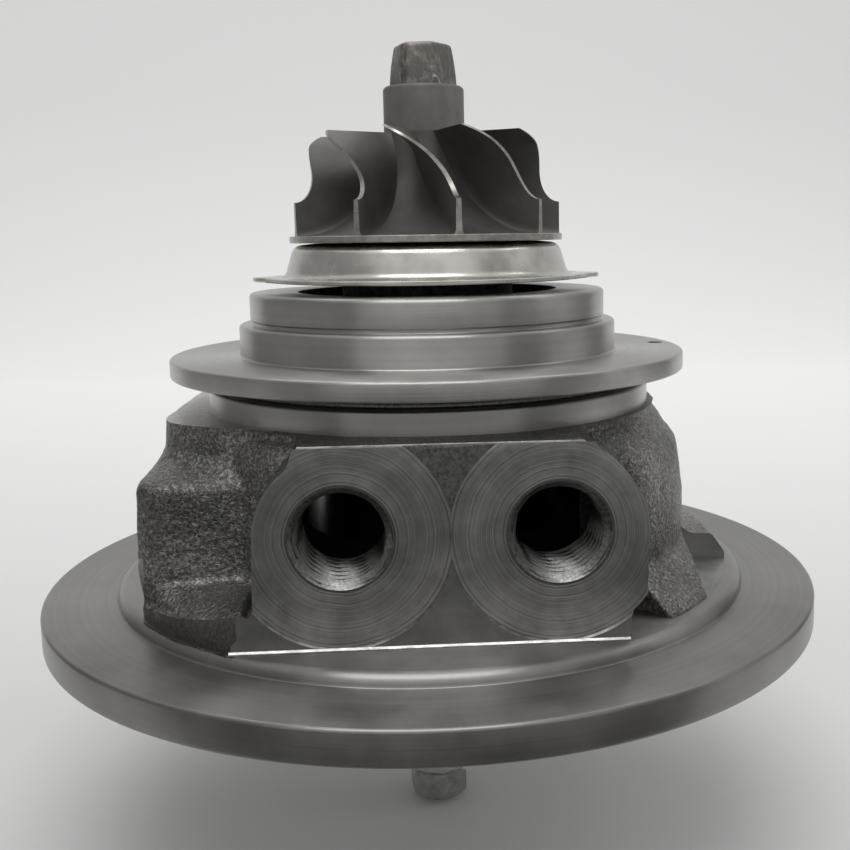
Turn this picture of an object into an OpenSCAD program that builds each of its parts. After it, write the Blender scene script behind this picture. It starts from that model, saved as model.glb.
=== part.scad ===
// Water cooled turbocharger cartridge, shaft upright with the turbine end on top.
// Origin on the shaft axis at the compressor side face of the large flange.
// The coolant ports face -Y, the oil drain faces -X and the oil inlet faces +X.

/* [Compressor flange] */
// Diameter of the large flange
flange_d = 112; // [108:0.5:124]
// Thickness of the large flange
flange_t = 4.4; // [3.6:0.1:6]
// Diameter of the raised ring on the flange
hub_ring_d = 92; // [90:0.5:100]
// Height of the raised ring
hub_ring_h = 1.6; // [1:0.1:2.4]
// Height of the cast foot that stands on the raised ring
foot_h = 1.6; // [1:0.1:2.4]

/* [Bearing housing] */
// Diameter of the cast barrel
barrel_d = 71.4; // [70:0.2:73]
// Diameter of the bulge of the barrel round the oil inlet
inlet_boss_d = 74.6; // [74:0.2:77]
// Width of that bulge
inlet_boss_w = 42; // [38:0.5:44]
// Height of the barrel above the raised ring
barrel_h = 24.2; // [23:0.1:27]
// Diameter of the turned neck above the barrel
neck_d = 64.2; // [63:0.2:66]
// Height of the neck
neck_h = 3.1; // [2.4:0.1:4]
// Diameter at the bottom of the clamp groove
groove_d = 60; // [59:0.2:62]
// Height of the clamp groove floor
groove_h = 0.8; // [0.6:0.1:1.4]
// Diameter of the turbine clamp flange
clamp_d = 74.4; // [70:0.2:80]
// Height of the sloped clamp face
clamp_cone_h = 1; // [0.8:0.1:2]
// Height of the clamp flange rim
clamp_rim_h = 2.5; // [2:0.1:4]
// Diameter of the lower pilot step
pilot_low_d = 54.8; // [54:0.1:58]
// Height of the lower pilot step
pilot_low_h = 4.4; // [3.4:0.1:6]
// Diameter of the upper pilot step
pilot_high_d = 51.6; // [51:0.1:52.6]
// Height of the upper pilot step
pilot_high_h = 4.4; // [3.4:0.1:6]
// Diameter of the recess in the top of the pilots
recess_d = 37; // [34:0.5:40]
// Depth of the recess
recess_depth = 3; // [2:0.1:4]
// Diameter of the seal nose under the heat shield
nose_d = 25; // [23:0.2:27]
// Height of the seal nose
nose_h = 6.1; // [5.8:0.1:8]
// Inner diameter of the water jacket
jacket_inner_d = 38; // [36:0.5:40]
// Outer diameter of the water jacket
jacket_outer_d = 61; // [58:0.5:62]

/* [Coolant ports] */
// Distance from the shaft axis to the machined port face
port_face_y = 38; // [37:0.2:41]
// Distance between the two port axes
port_spacing = 25.8; // [25:0.1:26]
// Sideways offset of the port pair from the shaft axis
port_offset = 1.6; // [0:0.1:3]
// Height of the port axes above the flange face
port_z = 19.4; // [18.5:0.1:20.5]
// Core diameter of the port thread
port_core_d = 10.4; // [9:0.1:11.4]
// Diameter of the entry chamfer
port_chamfer_d = 12.2; // [11.6:0.1:14]
// Diameter of the seat around each port
spotface_d = 26.4; // [26.2:0.1:27.2]
// Depth of the seats below the port face
spotface_depth = 0.4; // [0.2:0.1:0.8]
// Depth from the port face to the inner end of the thread
port_thread_depth = 10.5; // [9:0.1:12]
// Wall of the boss round each port inside the jacket
port_wall = 2.5; // [2:0.1:3.5]

/* [Oil ports] */
// Core diameter of the oil inlet thread
inlet_core_d = 9; // [7:0.1:10]
// Diameter of the oil inlet seat
inlet_seat_d = 20; // [18:0.5:22]
// Height of the oil inlet axis above the flange face
inlet_z = 20; // [18.5:0.1:20.5]
// Diameter of the oil drain bore
drain_d = 12; // [10:0.5:13]
// Height of the drain axis above the flange face
drain_z = 17; // [16:0.1:18]
// Distance between the two drain bolt holes
drain_bolt_spacing = 27; // [25:0.5:29]
// Core diameter of the drain bolt threads
drain_bolt_core_d = 5; // [4:0.1:5.4]
// Depth of the drain bolt holes
drain_bolt_depth = 10; // [8:0.5:12]
// Distance from the shaft axis to the side wall of the drain boss
drain_wall_x = 38.4; // [38:0.1:40]
// Width of the drain boss across the shaft axis
drain_boss_w = 52; // [50:0.5:54]

/* [Shaft and bearings] */
// Journal diameter of the shaft
journal_d = 7; // [6:0.1:7.6]
// Diameter of the shaft stub under the compressor wheel
stub_d = 5; // [4:0.1:5.4]
// Length of each journal bush
bush_l = 8; // [6:0.1:8.4]
// Outer diameter of the journal bushes
bush_d = 12.5; // [11:0.1:13]
// Thickness of the bush circlips
circlip_t = 0.8; // [0.6:0.05:1]
// Diameter of the seal hub at the turbine end of the shaft
seal_hub_d = 14.7; // [13.6:0.1:15.6]
// Width of the turbine seal ring
turbine_ring_w = 1.6; // [1.2:0.1:2]
// Thickness of the thrust bearing
thrust_t = 2.8; // [2.4:0.1:3.4]
// Diameter of the thrust bearing
thrust_d = 34; // [31:0.5:36]
// Diameter of the thrust collar flanges
collar_d = 15.2; // [14:0.1:16]
// Diameter of the thrust collar shank
collar_shank_d = 10; // [9:0.1:11]
// Diameter of the thrust bearing pins
thrust_pin_d = 2.5; // [2:0.1:3]

/* [Compressor seal] */
// Diameter of the seal plate
seal_plate_d = 45.9; // [44:0.1:48]
// Thickness of the seal plate
seal_plate_t = 6; // [5.4:0.1:7]
// Thickness of the oil deflector
deflector_t = 0.6; // [0.5:0.05:0.9]
// Diameter of the flinger sleeve that runs in the seal plate
sleeve_d = 12; // [11:0.1:12.6]
// Width of the compressor seal ring
compressor_ring_w = 1.4; // [1:0.1:1.6]
// Cord diameter of the seal plate O ring
o_ring_cord = 1.8; // [1.4:0.1:2]
// Thickness of the seal plate snap ring
snap_ring_t = 1.2; // [1:0.1:1.4]

/* [Heat shield] */
// Sheet thickness of the heat shield
shield_t = 0.6; // [0.4:0.05:0.9]
// Diameter of the shield wall at its foot
shield_wall_d = 40.6; // [40:0.1:42]
// Depth of the shield from crown to brim
shield_h = 5.2; // [4.6:0.1:5.6]
// Diameter of the shield brim
shield_brim_d = 45.4; // [44:0.1:47]
// Diameter over the two locating tabs
shield_tab_d = 50.8; // [48:0.1:51]
// Diameter of the rounded tab ends
shield_tab_round = 9; // [8:0.5:12]
// Diameter of the hole in the crown
shield_hole_d = 20; // [18:0.1:21]

/* [Turbine wheel] */
// Diameter of the turbine wheel back disc
turbine_d = 39.6; // [37:0.1:40.4]
// Diameter over the blades at the outlet
turbine_eye_d = 33.2; // [30:0.1:35]
// Height of the blade inlet edge
turbine_tip_h = 4.6; // [3.6:0.1:6]
// Height of the blades above the back of the wheel
turbine_blade_h = 15.3; // [14:0.1:18]
// Number of turbine blades
turbine_blades = 9; // [8:1:11]
// Twist of the turbine blades from inlet to outlet
turbine_wrap = -33; // [-45:1:-20]
// Diameter of the hub collar
hub_collar_d = 11.6; // [10.6:0.1:13]
// Height of the hub collar above the blades
hub_collar_h = 6.5; // [4:0.1:8]
// Width across flats at the foot of the cast nose
cast_nose_w = 8.8; // [8:0.1:10]
// Height of the cast nose
cast_nose_h = 5.9; // [4:0.1:8]

/* [Compressor wheel] */
// Diameter of the compressor wheel
compressor_d = 45; // [42:0.5:45.5]
// Diameter over the blades at the inlet
compressor_eye_d = 33; // [30:0.5:36]
// Height of the blade outlet edge
compressor_tip_h = 3; // [2.4:0.1:4]
// Height of the blades below the back of the wheel
compressor_blade_h = 20; // [18:0.5:22]
// Length of the compressor wheel along the shaft
compressor_l = 27.6; // [25:0.1:30]
// Number of full compressor blades, with a splitter between each two
compressor_blades = 6; // [5:1:7]
// Twist of the compressor blades from outlet to inlet
compressor_wrap = 52; // [35:1:65]
// Width across flats of the shaft nut
nut_w = 8; // [7:0.1:9]
// Height of the shaft nut
nut_h = 4.5; // [3.6:0.1:6]

/* [Clearances] */
// Radial running clearance between shaft and bush
journal_clearance = 0.03; // [0.02:0.005:0.06]
// Radial clearance between bush and housing
bush_clearance = 0.05; // [0.03:0.005:0.08]
// Radial running clearance of the seal hub and sleeve
seal_clearance = 0.15; // [0.1:0.01:0.3]
// Axial running clearance on each side of the thrust bearing
thrust_clearance = 0.06; // [0.03:0.01:0.1]
// Clearance between a turned part and its seat
seat_clearance = 0.05; // [0.02:0.01:0.1]
// Gap between the turbine wheel and the heat shield
wheel_gap = 0.25; // [0.2:0.05:0.8]
// Gap between the compressor wheel and the seal plate
back_gap = 0.5; // [0.3:0.05:0.8]

/* [Hidden] */

round_fn = 72;
small_fn = 24;
cut = 1;
cast_iron = "dimgray";
turned_iron = "gray";
bronze = "darkgoldenrod";
steel = "silver";

// Heights of the housing faces, stacked from the compressor side face
ring_z = flange_t + hub_ring_h;
foot_z = ring_z + foot_h;
shoulder_z = ring_z + barrel_h;
neck_z = shoulder_z + neck_h;
groove_z = neck_z + groove_h;
clamp_z = groove_z + clamp_cone_h;
clamp_top_z = clamp_z + clamp_rim_h;
pilot_low_z = clamp_top_z + pilot_low_h;
pilot_high_z = pilot_low_z + pilot_high_h;
recess_z = pilot_high_z - recess_depth;
nose_z = pilot_high_z + nose_h;

// Heights of the rotor at the turbine end
shield_z = nose_z + shield_t;
wheel_z = shield_z + wheel_gap;
disc_t = 0.95;
blade_top_z = wheel_z + turbine_blade_h;
collar_top_z = blade_top_z + hub_collar_h;
cast_nose_z = collar_top_z + cast_nose_h;

// Stack of the thrust and seal pieces above the compressor side face
deflector_z = seal_plate_t + deflector_t;
thrust_z = deflector_z + thrust_t;
collar_flange_t = 1.75;
collar_top = thrust_z + thrust_clearance + collar_flange_t;
land_gap = 0.4;
land_low_z = collar_top + land_gap;
bush_end_gap = 0.3;
bush_low_z = land_low_z + bush_end_gap;
circlip_gap = 0.15;
circlip_low_z = bush_low_z + bush_l + circlip_gap;
land_wall = 1;
land_low_top = circlip_low_z + circlip_t + land_wall;

// The turbine bush hangs from the turbine end in the same way
seal_bore_h = 8;
seal_bore_z = nose_z - seal_bore_h;
oil_well_h = 3.4;
land_high_top = seal_bore_z - oil_well_h;
circlip_high_z = land_high_top - land_wall - circlip_t;
bush_high_z = circlip_high_z - circlip_gap - bush_l;
circlip_mid_z = bush_high_z - circlip_gap - circlip_t;
land_high_z = circlip_mid_z - land_wall;

// Radii that several pieces share
bore_r = bush_d / 2 + bush_clearance;
circlip_groove_depth = 0.7;
circlip_groove_r = bore_r + circlip_groove_depth;
carrier_wall = 4;
carrier_r = bore_r + carrier_wall;
chamber_r = jacket_inner_d / 2 - carrier_wall;
seal_bore_r = seal_hub_d / 2 + seal_clearance;
plate_bore_r = seal_plate_d / 2 + seat_clearance;
thrust_bore_r = thrust_d / 2 + seat_clearance;
collar_well_gap = 0.7;
collar_well_r = collar_d / 2 + collar_well_gap;
sleeve_bore_r = sleeve_d / 2 + seal_clearance;
ring_wall = 0.9;
ring_gap_w = 0.5;
ring_side_gap = 0.1;
snap_groove_depth = 1.4;
snap_groove_r = plate_bore_r + snap_groove_depth;
snap_z = 0.5;
snap_top_z = snap_z + snap_ring_t;
snap_land_w = 2.6;
snap_land_r = seal_plate_d / 2 - snap_land_w;

// Heights of the jacket inside the barrel
jacket_floor = 3.4;
jacket_roof = 1.2;
jacket_z = thrust_z + jacket_floor;
jacket_top_z = shoulder_z - jacket_roof;

// The cast port block and bosses
block_sink = 0.2;
block_rise = 0.3;
block_bottom_z = ring_z - block_sink;
block_top_z = shoulder_z + block_rise;
block_back_y = 16;
port_l_x = port_offset - port_spacing / 2;
port_r_x = port_offset + port_spacing / 2;
block_round_l = 10.3;
block_round_r = 10.6;
block_l_x = port_l_x - block_round_l;
block_r_x = port_r_x + block_round_r;
block_top_l = 4.7;
block_top_r = 2.9;
block_turn_l = 125;
block_turn_r = 62;
block_skirt = 3.1;
block_skirt_h = 5.6;
block_toe_h = 2;
block_heel = 2.3;
block_heel_h = 3.4;
boss_flare_h = 3.6;
boss_band_h = 6.6;
boss_heel_h = 1.6;
boss_flare_z = shoulder_z - boss_flare_h;
boss_band_z = shoulder_z - boss_band_h;
boss_heel_z = foot_z + boss_heel_h;
boss_corner_r = 3;
pad_proud = 0.8;
pad_r = 7;
pad_bolt_r = 5.4;
pad_root_x = barrel_d / 3;
drain_face_x = drain_wall_x + pad_proud;
inlet_face_x = sqrt(pow(inlet_boss_d / 2, 2) - pow(inlet_seat_d / 2, 2));
gallery_d = 3;
gallery_wall = 1.6;
drain_way_r = 2.4;
drain_way_bite = 0.6;
drain_way_skin = 0.6;
drain_way_top = 1.4;
drain_stop = 1;
drain_wall = 3.5;
rib_wall = 2.5;
chamber_floor = 2;
rib_root = 0.5;
oil_well_w = 3;
oil_well_slope = 1;
toe_x = 43;
toe_y = 6.5;
toe_h = 5;
toe_slope = 2.4;
toe_root = 4;
toe_lip = 0.6;
foot_set_back = 1.6;
foot_draw = 0.6;
foot_floor = 0.4;
foot_r = hub_ring_d / 2 - foot_set_back;

// Sloped shoulder of the inlet bulge, as draw-in of the wall and depth below the top of the barrel
inlet_boss_sink = 2.2;
inlet_boss_slope = [[0, 12.2], [0.35, 9.6], [1, 5.6], [1.9, 4.3], [2.9, 3.1], [3.7, inlet_boss_sink]];

// Height and draw-in of the cast wall of the drain boss, from its heel to its top
boss_wall = [
  [ring_z - cut, 0.6], [boss_heel_z, 0.4], [boss_heel_z + 2.6, 0], [boss_band_z - 0.8, 0.3],
  [boss_band_z, 0.7], [boss_band_z + 1.4, 1.6], [boss_flare_z, 2.2], [shoulder_z, 2.4]
];

// Upper wall of the drain boss that runs slanted to the port block, as distance from the shaft axis
boss_slant_turn = 55;
boss_slant_r = 34.2;
boss_reach = 60;
boss_slant = [
  [boss_reach, boss_band_z], [boss_slant_r + 4.2, boss_band_z + 0.6],
  [boss_slant_r + 1.6, boss_band_z + 1.8],
  [boss_slant_r + 0.5, boss_flare_z], [boss_slant_r, shoulder_z]
];

function arc(centre, r, from, to, steps = 6) =
  [for (i = [0 : steps])
    let (a = from + (to - from) * i / steps)
    centre + r * [cos(a), sin(a)]];

function mix(a, b, t) = a + (b - a) * t;

module tube(outer_r, inner_r, bottom, top) {
  translate([0, 0, bottom])
    difference() {
      cylinder(h = top - bottom, r = outer_r, $fn = round_fn);
      translate([0, 0, -cut])
        cylinder(h = top - bottom + 2 * cut, r = inner_r, $fn = round_fn);
    }
}

module disc(r, bottom, top) {
  translate([0, 0, bottom])
    cylinder(h = top - bottom, r = r, $fn = round_fn);
}

// A slit that opens a spring ring on the side given by the angle
module ring_slit(r, bottom, top, width, angle) {
  rotate(angle)
    translate([0, -width / 2, bottom - cut])
      cube([r + cut, width, top - bottom + 2 * cut]);
}

// Bearing housing
flange_edge = 0.6;
ring_round = 1.2;
ring_fillet = 0.8;
shoulder_round = 5;
shoulder_draft = 0.85;
shoulder_draft_h = 7;
clamp_edge = 0.6;
pilot_edge = 0.7;
undercut = 0.25;
fillet_end = 200;
ring_turn = 20;
shoulder_turn = 62;
neck_land = 0.9;
neck_edge = 0.3;
clamp_back_edge = 0.3;
nose_fillet = 0.6;
nose_edge = 0.4;

module housing_turning() {
  rotate_extrude($fn = round_fn)
    polygon(concat(
      [[0, 0], [flange_d / 2 - flange_edge, 0], [flange_d / 2, flange_edge],
       [flange_d / 2, flange_t - flange_edge], [flange_d / 2 - flange_edge, flange_t]],
      arc([hub_ring_d / 2 + ring_fillet, flange_t + ring_fillet], ring_fillet, 270, fillet_end, 3),
      arc([hub_ring_d / 2 - ring_round, ring_z - ring_round], ring_round, ring_turn, 90, 4),
      [[barrel_d / 2, ring_z], [barrel_d / 2, shoulder_z - shoulder_round - shoulder_draft_h]],
      arc([barrel_d / 2 - shoulder_draft - shoulder_round, shoulder_z - shoulder_round],
          shoulder_round, 0, shoulder_turn, 5),
      [[neck_d / 2 + neck_land, shoulder_z], [neck_d / 2, shoulder_z], [neck_d / 2, neck_z - neck_edge],
       [neck_d / 2 - neck_edge, neck_z], [groove_d / 2, neck_z], [groove_d / 2, groove_z],
       [clamp_d / 2 - clamp_back_edge, clamp_z], [clamp_d / 2, clamp_z + clamp_back_edge],
       [clamp_d / 2, clamp_top_z - clamp_edge], [clamp_d / 2 - clamp_edge, clamp_top_z],
       [pilot_low_d / 2 + undercut, clamp_top_z], [pilot_low_d / 2, clamp_top_z + undercut],
       [pilot_low_d / 2, pilot_low_z - pilot_edge], [pilot_low_d / 2 - pilot_edge, pilot_low_z],
       [pilot_high_d / 2 - undercut, pilot_low_z],
       [pilot_high_d / 2 - undercut, pilot_low_z + 2 * undercut],
       [pilot_high_d / 2, pilot_low_z + 3 * undercut],
       [pilot_high_d / 2, pilot_high_z - pilot_edge],
       [pilot_high_d / 2 - pilot_edge, pilot_high_z],
       [recess_d / 2, pilot_high_z], [recess_d / 2, recess_z],
       [nose_d / 2 + nose_fillet, recess_z], [nose_d / 2, recess_z + nose_fillet],
       [nose_d / 2, nose_z - nose_edge], [nose_d / 2 - nose_edge, nose_z], [0, nose_z]]));
}

// Outline of the port block seen from the front, in x and z, rounded about both ports
function block_outline() = concat(
  [[block_l_x - block_skirt, block_bottom_z], [block_r_x - block_heel, block_bottom_z],
   [block_r_x - block_heel, block_bottom_z + block_heel_h], [block_r_x, block_bottom_z + block_skirt_h]],
  arc([port_r_x, port_z], block_round_r, 0, block_turn_r, 5),
  [[port_r_x + block_top_r, block_top_z], [port_l_x - block_top_l, block_top_z]],
  arc([port_l_x, port_z], block_round_l, block_turn_l, 180, 5),
  [[block_l_x, block_bottom_z + block_skirt_h], [block_l_x - block_skirt, block_bottom_z + block_toe_h]]);

module port_block() {
  translate([0, -block_back_y, 0])
    rotate([90, 0, 0])
      linear_extrude(port_face_y - block_back_y)
        polygon(block_outline());
}

// Cast side of the drain boss: straight top, flared band and drawn-in heel, in depth and z
function boss_side(depth) = concat(
  [[0, boss_wall[0][0]]],
  [for (step = boss_wall) [depth - step[1], step[0]]],
  [[0, shoulder_z]]);

module boss_slant_side(angle) {
  rotate([90, 0, angle])
    linear_extrude(2 * boss_reach, center = true)
      polygon(concat(
        [[-boss_reach, boss_wall[0][0]], [boss_reach, boss_wall[0][0]]],
        boss_slant,
        [[-boss_reach, shoulder_z]]));
}

module drain_boss() {
  half = drain_boss_w / 2;
  intersection() {
    boss_slant_side(180 + boss_slant_turn);
    boss_slant_side(180 - boss_slant_turn);
    translate([0, half, 0])
      rotate([90, 0, 0])
        linear_extrude(drain_boss_w)
          mirror([1, 0]) polygon(boss_side(drain_wall_x));
    rotate([90, 0, -90])
      linear_extrude(drain_wall_x)
        union() {
          polygon(boss_side(half));
          mirror([1, 0]) polygon(boss_side(half));
        }
    linear_extrude(shoulder_z)
      polygon(concat(
        [[0, -half]],
        arc([-drain_wall_x + boss_corner_r, -half + boss_corner_r], boss_corner_r, 270, 180, 4),
        arc([-drain_wall_x + boss_corner_r, half - boss_corner_r], boss_corner_r, 180, 90, 4),
        [[0, half]]));
  }
}

module drain_pad() {
  for (side = [-1, 1])
    translate([-drain_face_x, side * drain_bolt_spacing / 2, drain_z])
      rotate([0, 90, 0])
        cylinder(h = drain_face_x - pad_root_x, r = pad_bolt_r, $fn = round_fn);
  translate([-drain_face_x, 0, drain_z])
    rotate([0, 90, 0])
      cylinder(h = drain_face_x - pad_root_x, r = pad_r, $fn = round_fn);
  translate([-drain_face_x, -drain_bolt_spacing / 2, drain_z - pad_bolt_r])
    cube([drain_face_x - pad_root_x, drain_bolt_spacing, 2 * pad_bolt_r]);
}

// Cast foot on the raised ring, cut back in front of the port face and beside the inlet seat
module cast_foot() {
  intersection() {
    disc(foot_r, ring_z - cut, foot_z);
    translate([-drain_wall_x + foot_draw, -port_face_y, 0])
      cube([drain_wall_x - foot_draw + inlet_face_x - foot_floor, port_face_y + foot_r, foot_z + cut]);
  }
}

// Bulge of the barrel that carries the oil inlet
module inlet_boss() {
  boss_r = inlet_boss_d / 2;
  intersection() {
    rotate_extrude($fn = round_fn)
      polygon(concat(
        [[0, ring_z - cut], [boss_r, ring_z - cut]],
        [for (step = inlet_boss_slope) [boss_r - step[0], shoulder_z - step[1]]],
        [[0, shoulder_z - inlet_boss_sink]]));
    translate([0, -inlet_boss_w / 2, 0])
      cube([inlet_boss_d, inlet_boss_w, shoulder_z]);
  }
}

// Low toe of the casting beside the oil inlet
module inlet_toe() {
  translate([0, toe_y, 0])
    rotate([90, 0, 0])
      linear_extrude(2 * toe_y)
        polygon([[inlet_face_x - toe_root, ring_z - cut], [toe_x, ring_z - cut], [toe_x, ring_z + toe_lip],
                 [toe_x - toe_slope, ring_z + toe_h], [inlet_face_x - toe_root, ring_z + toe_h]]);
}

module coolant_port(x) {
  translate([x, -port_face_y, port_z])
    rotate([-90, 0, 0]) {
      translate([0, 0, -cut])
        cylinder(h = spotface_depth + cut, d = spotface_d, $fn = round_fn);
      cylinder(h = port_thread_depth + cut, d = port_core_d, $fn = round_fn);
      translate([0, 0, spotface_depth])
        cylinder(h = (port_chamfer_d - port_core_d) / 2, d1 = port_chamfer_d, d2 = port_core_d,
                 $fn = round_fn);
    }
}

// Unmachined hollows between the two seats
module seat_hollows() {
  hollow_depth = 2.2;
  hollow_tip = 3.6;
  hollow_half_w = 7.4;
  hollow_top = block_top_z - port_z + cut;
  difference() {
    translate([port_offset, -port_face_y - cut, port_z])
      rotate([-90, 0, 0])
        linear_extrude(hollow_depth + cut)
          polygon([[0, -hollow_tip], [hollow_half_w, -hollow_top], [-hollow_half_w, -hollow_top]]);
    for (x = [port_l_x, port_r_x])
      translate([x, -port_face_y - 2 * cut, port_z])
        rotate([-90, 0, 0])
          cylinder(h = hollow_depth + 3 * cut, d = spotface_d, $fn = round_fn);
  }
}

module water_jacket() {
  rib_w = inlet_core_d + 2 * rib_wall;
  rib_top = inlet_z + rib_w / 2;
  difference() {
    tube(jacket_outer_d / 2, jacket_inner_d / 2, jacket_z, jacket_top_z);
    translate([0, -rib_w / 2, jacket_z - cut])
      cube([jacket_outer_d, rib_w, rib_top - jacket_z + cut]);
    translate([0, 0, drain_z])
      rotate([0, -90, 0])
        cylinder(h = jacket_outer_d, d = drain_d + 2 * drain_wall, $fn = round_fn);
    for (x = [port_l_x, port_r_x])
      translate([x, -port_face_y, port_z])
        rotate([-90, 0, 0])
          cylinder(h = port_thread_depth, d = port_core_d + 2 * port_wall, $fn = round_fn);
  }
}

module bearing_cavity() {
  rotate_extrude($fn = round_fn)
    polygon([
      [0, -cut], [plate_bore_r, -cut], [plate_bore_r, snap_z], [snap_groove_r, snap_z],
      [snap_groove_r, snap_top_z + seat_clearance], [plate_bore_r, snap_top_z + seat_clearance],
      [plate_bore_r, deflector_z], [thrust_bore_r, deflector_z], [thrust_bore_r, thrust_z],
      [collar_well_r, thrust_z], [collar_well_r, land_low_z], [bore_r, land_low_z],
      [bore_r, circlip_low_z - seat_clearance], [circlip_groove_r, circlip_low_z - seat_clearance],
      [circlip_groove_r, circlip_low_z + circlip_t + seat_clearance],
      [bore_r, circlip_low_z + circlip_t + seat_clearance], [bore_r, circlip_mid_z - seat_clearance],
      [circlip_groove_r, circlip_mid_z - seat_clearance],
      [circlip_groove_r, circlip_mid_z + circlip_t + seat_clearance],
      [bore_r, circlip_mid_z + circlip_t + seat_clearance], [bore_r, circlip_high_z - seat_clearance],
      [circlip_groove_r, circlip_high_z - seat_clearance],
      [circlip_groove_r, circlip_high_z + circlip_t + seat_clearance],
      [bore_r, circlip_high_z + circlip_t + seat_clearance], [bore_r, land_high_top],
      [seal_bore_r + oil_well_w, land_high_top], [seal_bore_r + oil_well_w, seal_bore_z - oil_well_slope],
      [seal_bore_r, seal_bore_z], [seal_bore_r, nose_z + cut], [0, nose_z + cut]]);
}

// Oil chamber round the bearing carrier, with a rib left for the feed drillings
module oil_chamber() {
  difference() {
    union() {
      disc(chamber_r, land_low_top, land_high_z);
      tube(chamber_r, carrier_r, land_low_z + chamber_floor, land_low_top + cut);
    }
    translate([bore_r + rib_root, -gallery_d / 2 - gallery_wall, land_low_z])
      cube([chamber_r, gallery_d + 2 * gallery_wall, land_high_z - land_low_z + cut]);
  }
}

module oil_drain() {
  translate([0, 0, drain_z])
    rotate([0, -90, 0])
      translate([0, 0, carrier_r + drain_stop])
        cylinder(h = drain_face_x, d = drain_d, $fn = round_fn);
  for (side = [-1, 1])
    translate([-drain_face_x - cut, side * drain_bolt_spacing / 2, drain_z])
      rotate([0, 90, 0])
        cylinder(h = drain_bolt_depth + cut, d = drain_bolt_core_d, $fn = round_fn);
  // Drillings along the shaft that let oil fall from both bearing ends into the chamber
  translate([-carrier_r - drain_way_r + drain_way_bite, 0, thrust_z - cut])
    cylinder(h = land_low_top - thrust_z + 2 * cut, r = drain_way_r, $fn = round_fn);
  translate([-circlip_groove_r - drain_way_r - drain_way_skin, 0, land_high_z - cut])
    cylinder(h = seal_bore_z - drain_way_top - land_high_z + cut, r = drain_way_r, $fn = round_fn);
}

module oil_inlet() {
  seat_run = barrel_d;
  pocket_wall = 5;
  run_in = 2;
  run_out = 1;
  pocket_x = jacket_inner_d / 2 + pocket_wall;
  translate([inlet_face_x, 0, inlet_z])
    rotate([0, 90, 0])
      cylinder(h = seat_run, d = inlet_seat_d, $fn = round_fn);
  translate([pocket_x, 0, inlet_z])
    rotate([0, 90, 0])
      cylinder(h = seat_run, d = inlet_core_d, $fn = round_fn);
  for (target = [bush_low_z + bush_l / 2, bush_high_z + bush_l / 2]) {
    run = [pocket_x + run_in - bore_r + run_out, inlet_z - target];
    translate([bore_r - run_out, 0, target])
      rotate([0, 90 - atan2(run[1], run[0]), 0])
        cylinder(h = norm(run), d = gallery_d, $fn = round_fn);
  }
}

module bearing_housing() {
  color(cast_iron)
    difference() {
      union() {
        housing_turning();
        port_block();
        drain_boss();
        drain_pad();
        cast_foot();
        inlet_boss();
        inlet_toe();
      }
      water_jacket();
      coolant_port(port_l_x);
      coolant_port(port_r_x);
      seat_hollows();
      bearing_cavity();
      oil_chamber();
      oil_drain();
      oil_inlet();
      locating_hole();
      thrust_pin_places()
        disc(thrust_pin_d / 2 + pin_clearance, thrust_z - cut, thrust_z + thrust_pin_sink);
    }
}

// Small hole that times the clamp flange to the turbine casing
module locating_hole() {
  hole_d = 2.2;
  hole_depth = 1.6;
  hole_out = 2.2;
  hole_y = 2;
  hole_x = (clamp_d + pilot_low_d) / 4 + hole_out;
  translate([hole_x, hole_y, clamp_top_z - hole_depth])
    cylinder(h = hole_depth + cut, d = hole_d, $fn = round_fn);
}

// Heat shield: one pressed sheet, resting by its crown on the seal nose
shield_draft = 0.7;
shield_press_r = 1.1;
shield_foot_r = 0.8;
shield_lean = 15;
shield_foot_turn = 185;
tab_overlap = 0.6;

// The tabs run out from the brim along straight tangents
module shield_tab() {
  brim_r = shield_brim_d / 2;
  end_r = shield_tab_round / 2;
  end_x = shield_tab_d / 2 - end_r;
  lean = acos((brim_r - end_r) / end_x);
  difference() {
    linear_extrude(shield_t)
      polygon(concat(
        [brim_r * [cos(lean), -sin(lean)]],
        arc([end_x, 0], end_r, -lean, lean),
        [brim_r * [cos(lean), sin(lean)]]));
    disc(brim_r - tab_overlap, -cut, shield_t + cut);
  }
}

module heat_shield() {
  wall_r = shield_wall_d / 2;
  crown_r = wall_r - shield_draft;
  brim_z = shield_z - shield_h;
  crown = [crown_r - shield_press_r, shield_z - shield_press_r];
  foot = [wall_r + shield_foot_r, brim_z + shield_t + shield_foot_r];
  color("lightgray") {
    rotate_extrude($fn = round_fn)
      polygon(concat(
        [[shield_hole_d / 2, shield_z - shield_t], [shield_hole_d / 2, shield_z]],
        arc(crown, shield_press_r, 90, shield_lean),
        arc(foot, shield_foot_r, 180, 270, 4),
        [[shield_brim_d / 2, brim_z + shield_t], [shield_brim_d / 2, brim_z]],
        arc(foot, shield_foot_r + shield_t, 270, shield_foot_turn, 4),
        arc(crown, shield_press_r - shield_t, shield_lean, 90)));
    for (side = [0, 1])
      translate([0, 0, brim_z])
        mirror([side, 0, 0]) shield_tab();
  }
}

// Spring ring that seals the turbine hub in the nose bore
ring_seat_depth = 3.6;
ring_seat_z = nose_z - ring_seat_depth;
ring_fit = 0.02;
turbine_slit_turn = 35;
sleeve_slit_turn = 215;

module turbine_seal_ring() {
  outer = seal_bore_r - ring_fit;
  color(steel)
    difference() {
      tube(outer, outer - ring_wall, ring_seat_z, ring_seat_z + turbine_ring_w);
      ring_slit(outer, ring_seat_z, ring_seat_z + turbine_ring_w, ring_gap_w, turbine_slit_turn);
    }
}

module bush_circlip(bottom) {
  circlip_r = circlip_groove_r - seat_clearance;
  circlip_reach = 1.1;
  opening = 2.4;
  opening_turn = 200;
  difference() {
    tube(circlip_r, bore_r - circlip_reach, bottom, bottom + circlip_t);
    ring_slit(circlip_r, bottom, bottom + circlip_t, opening, opening_turn);
  }
}

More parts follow.
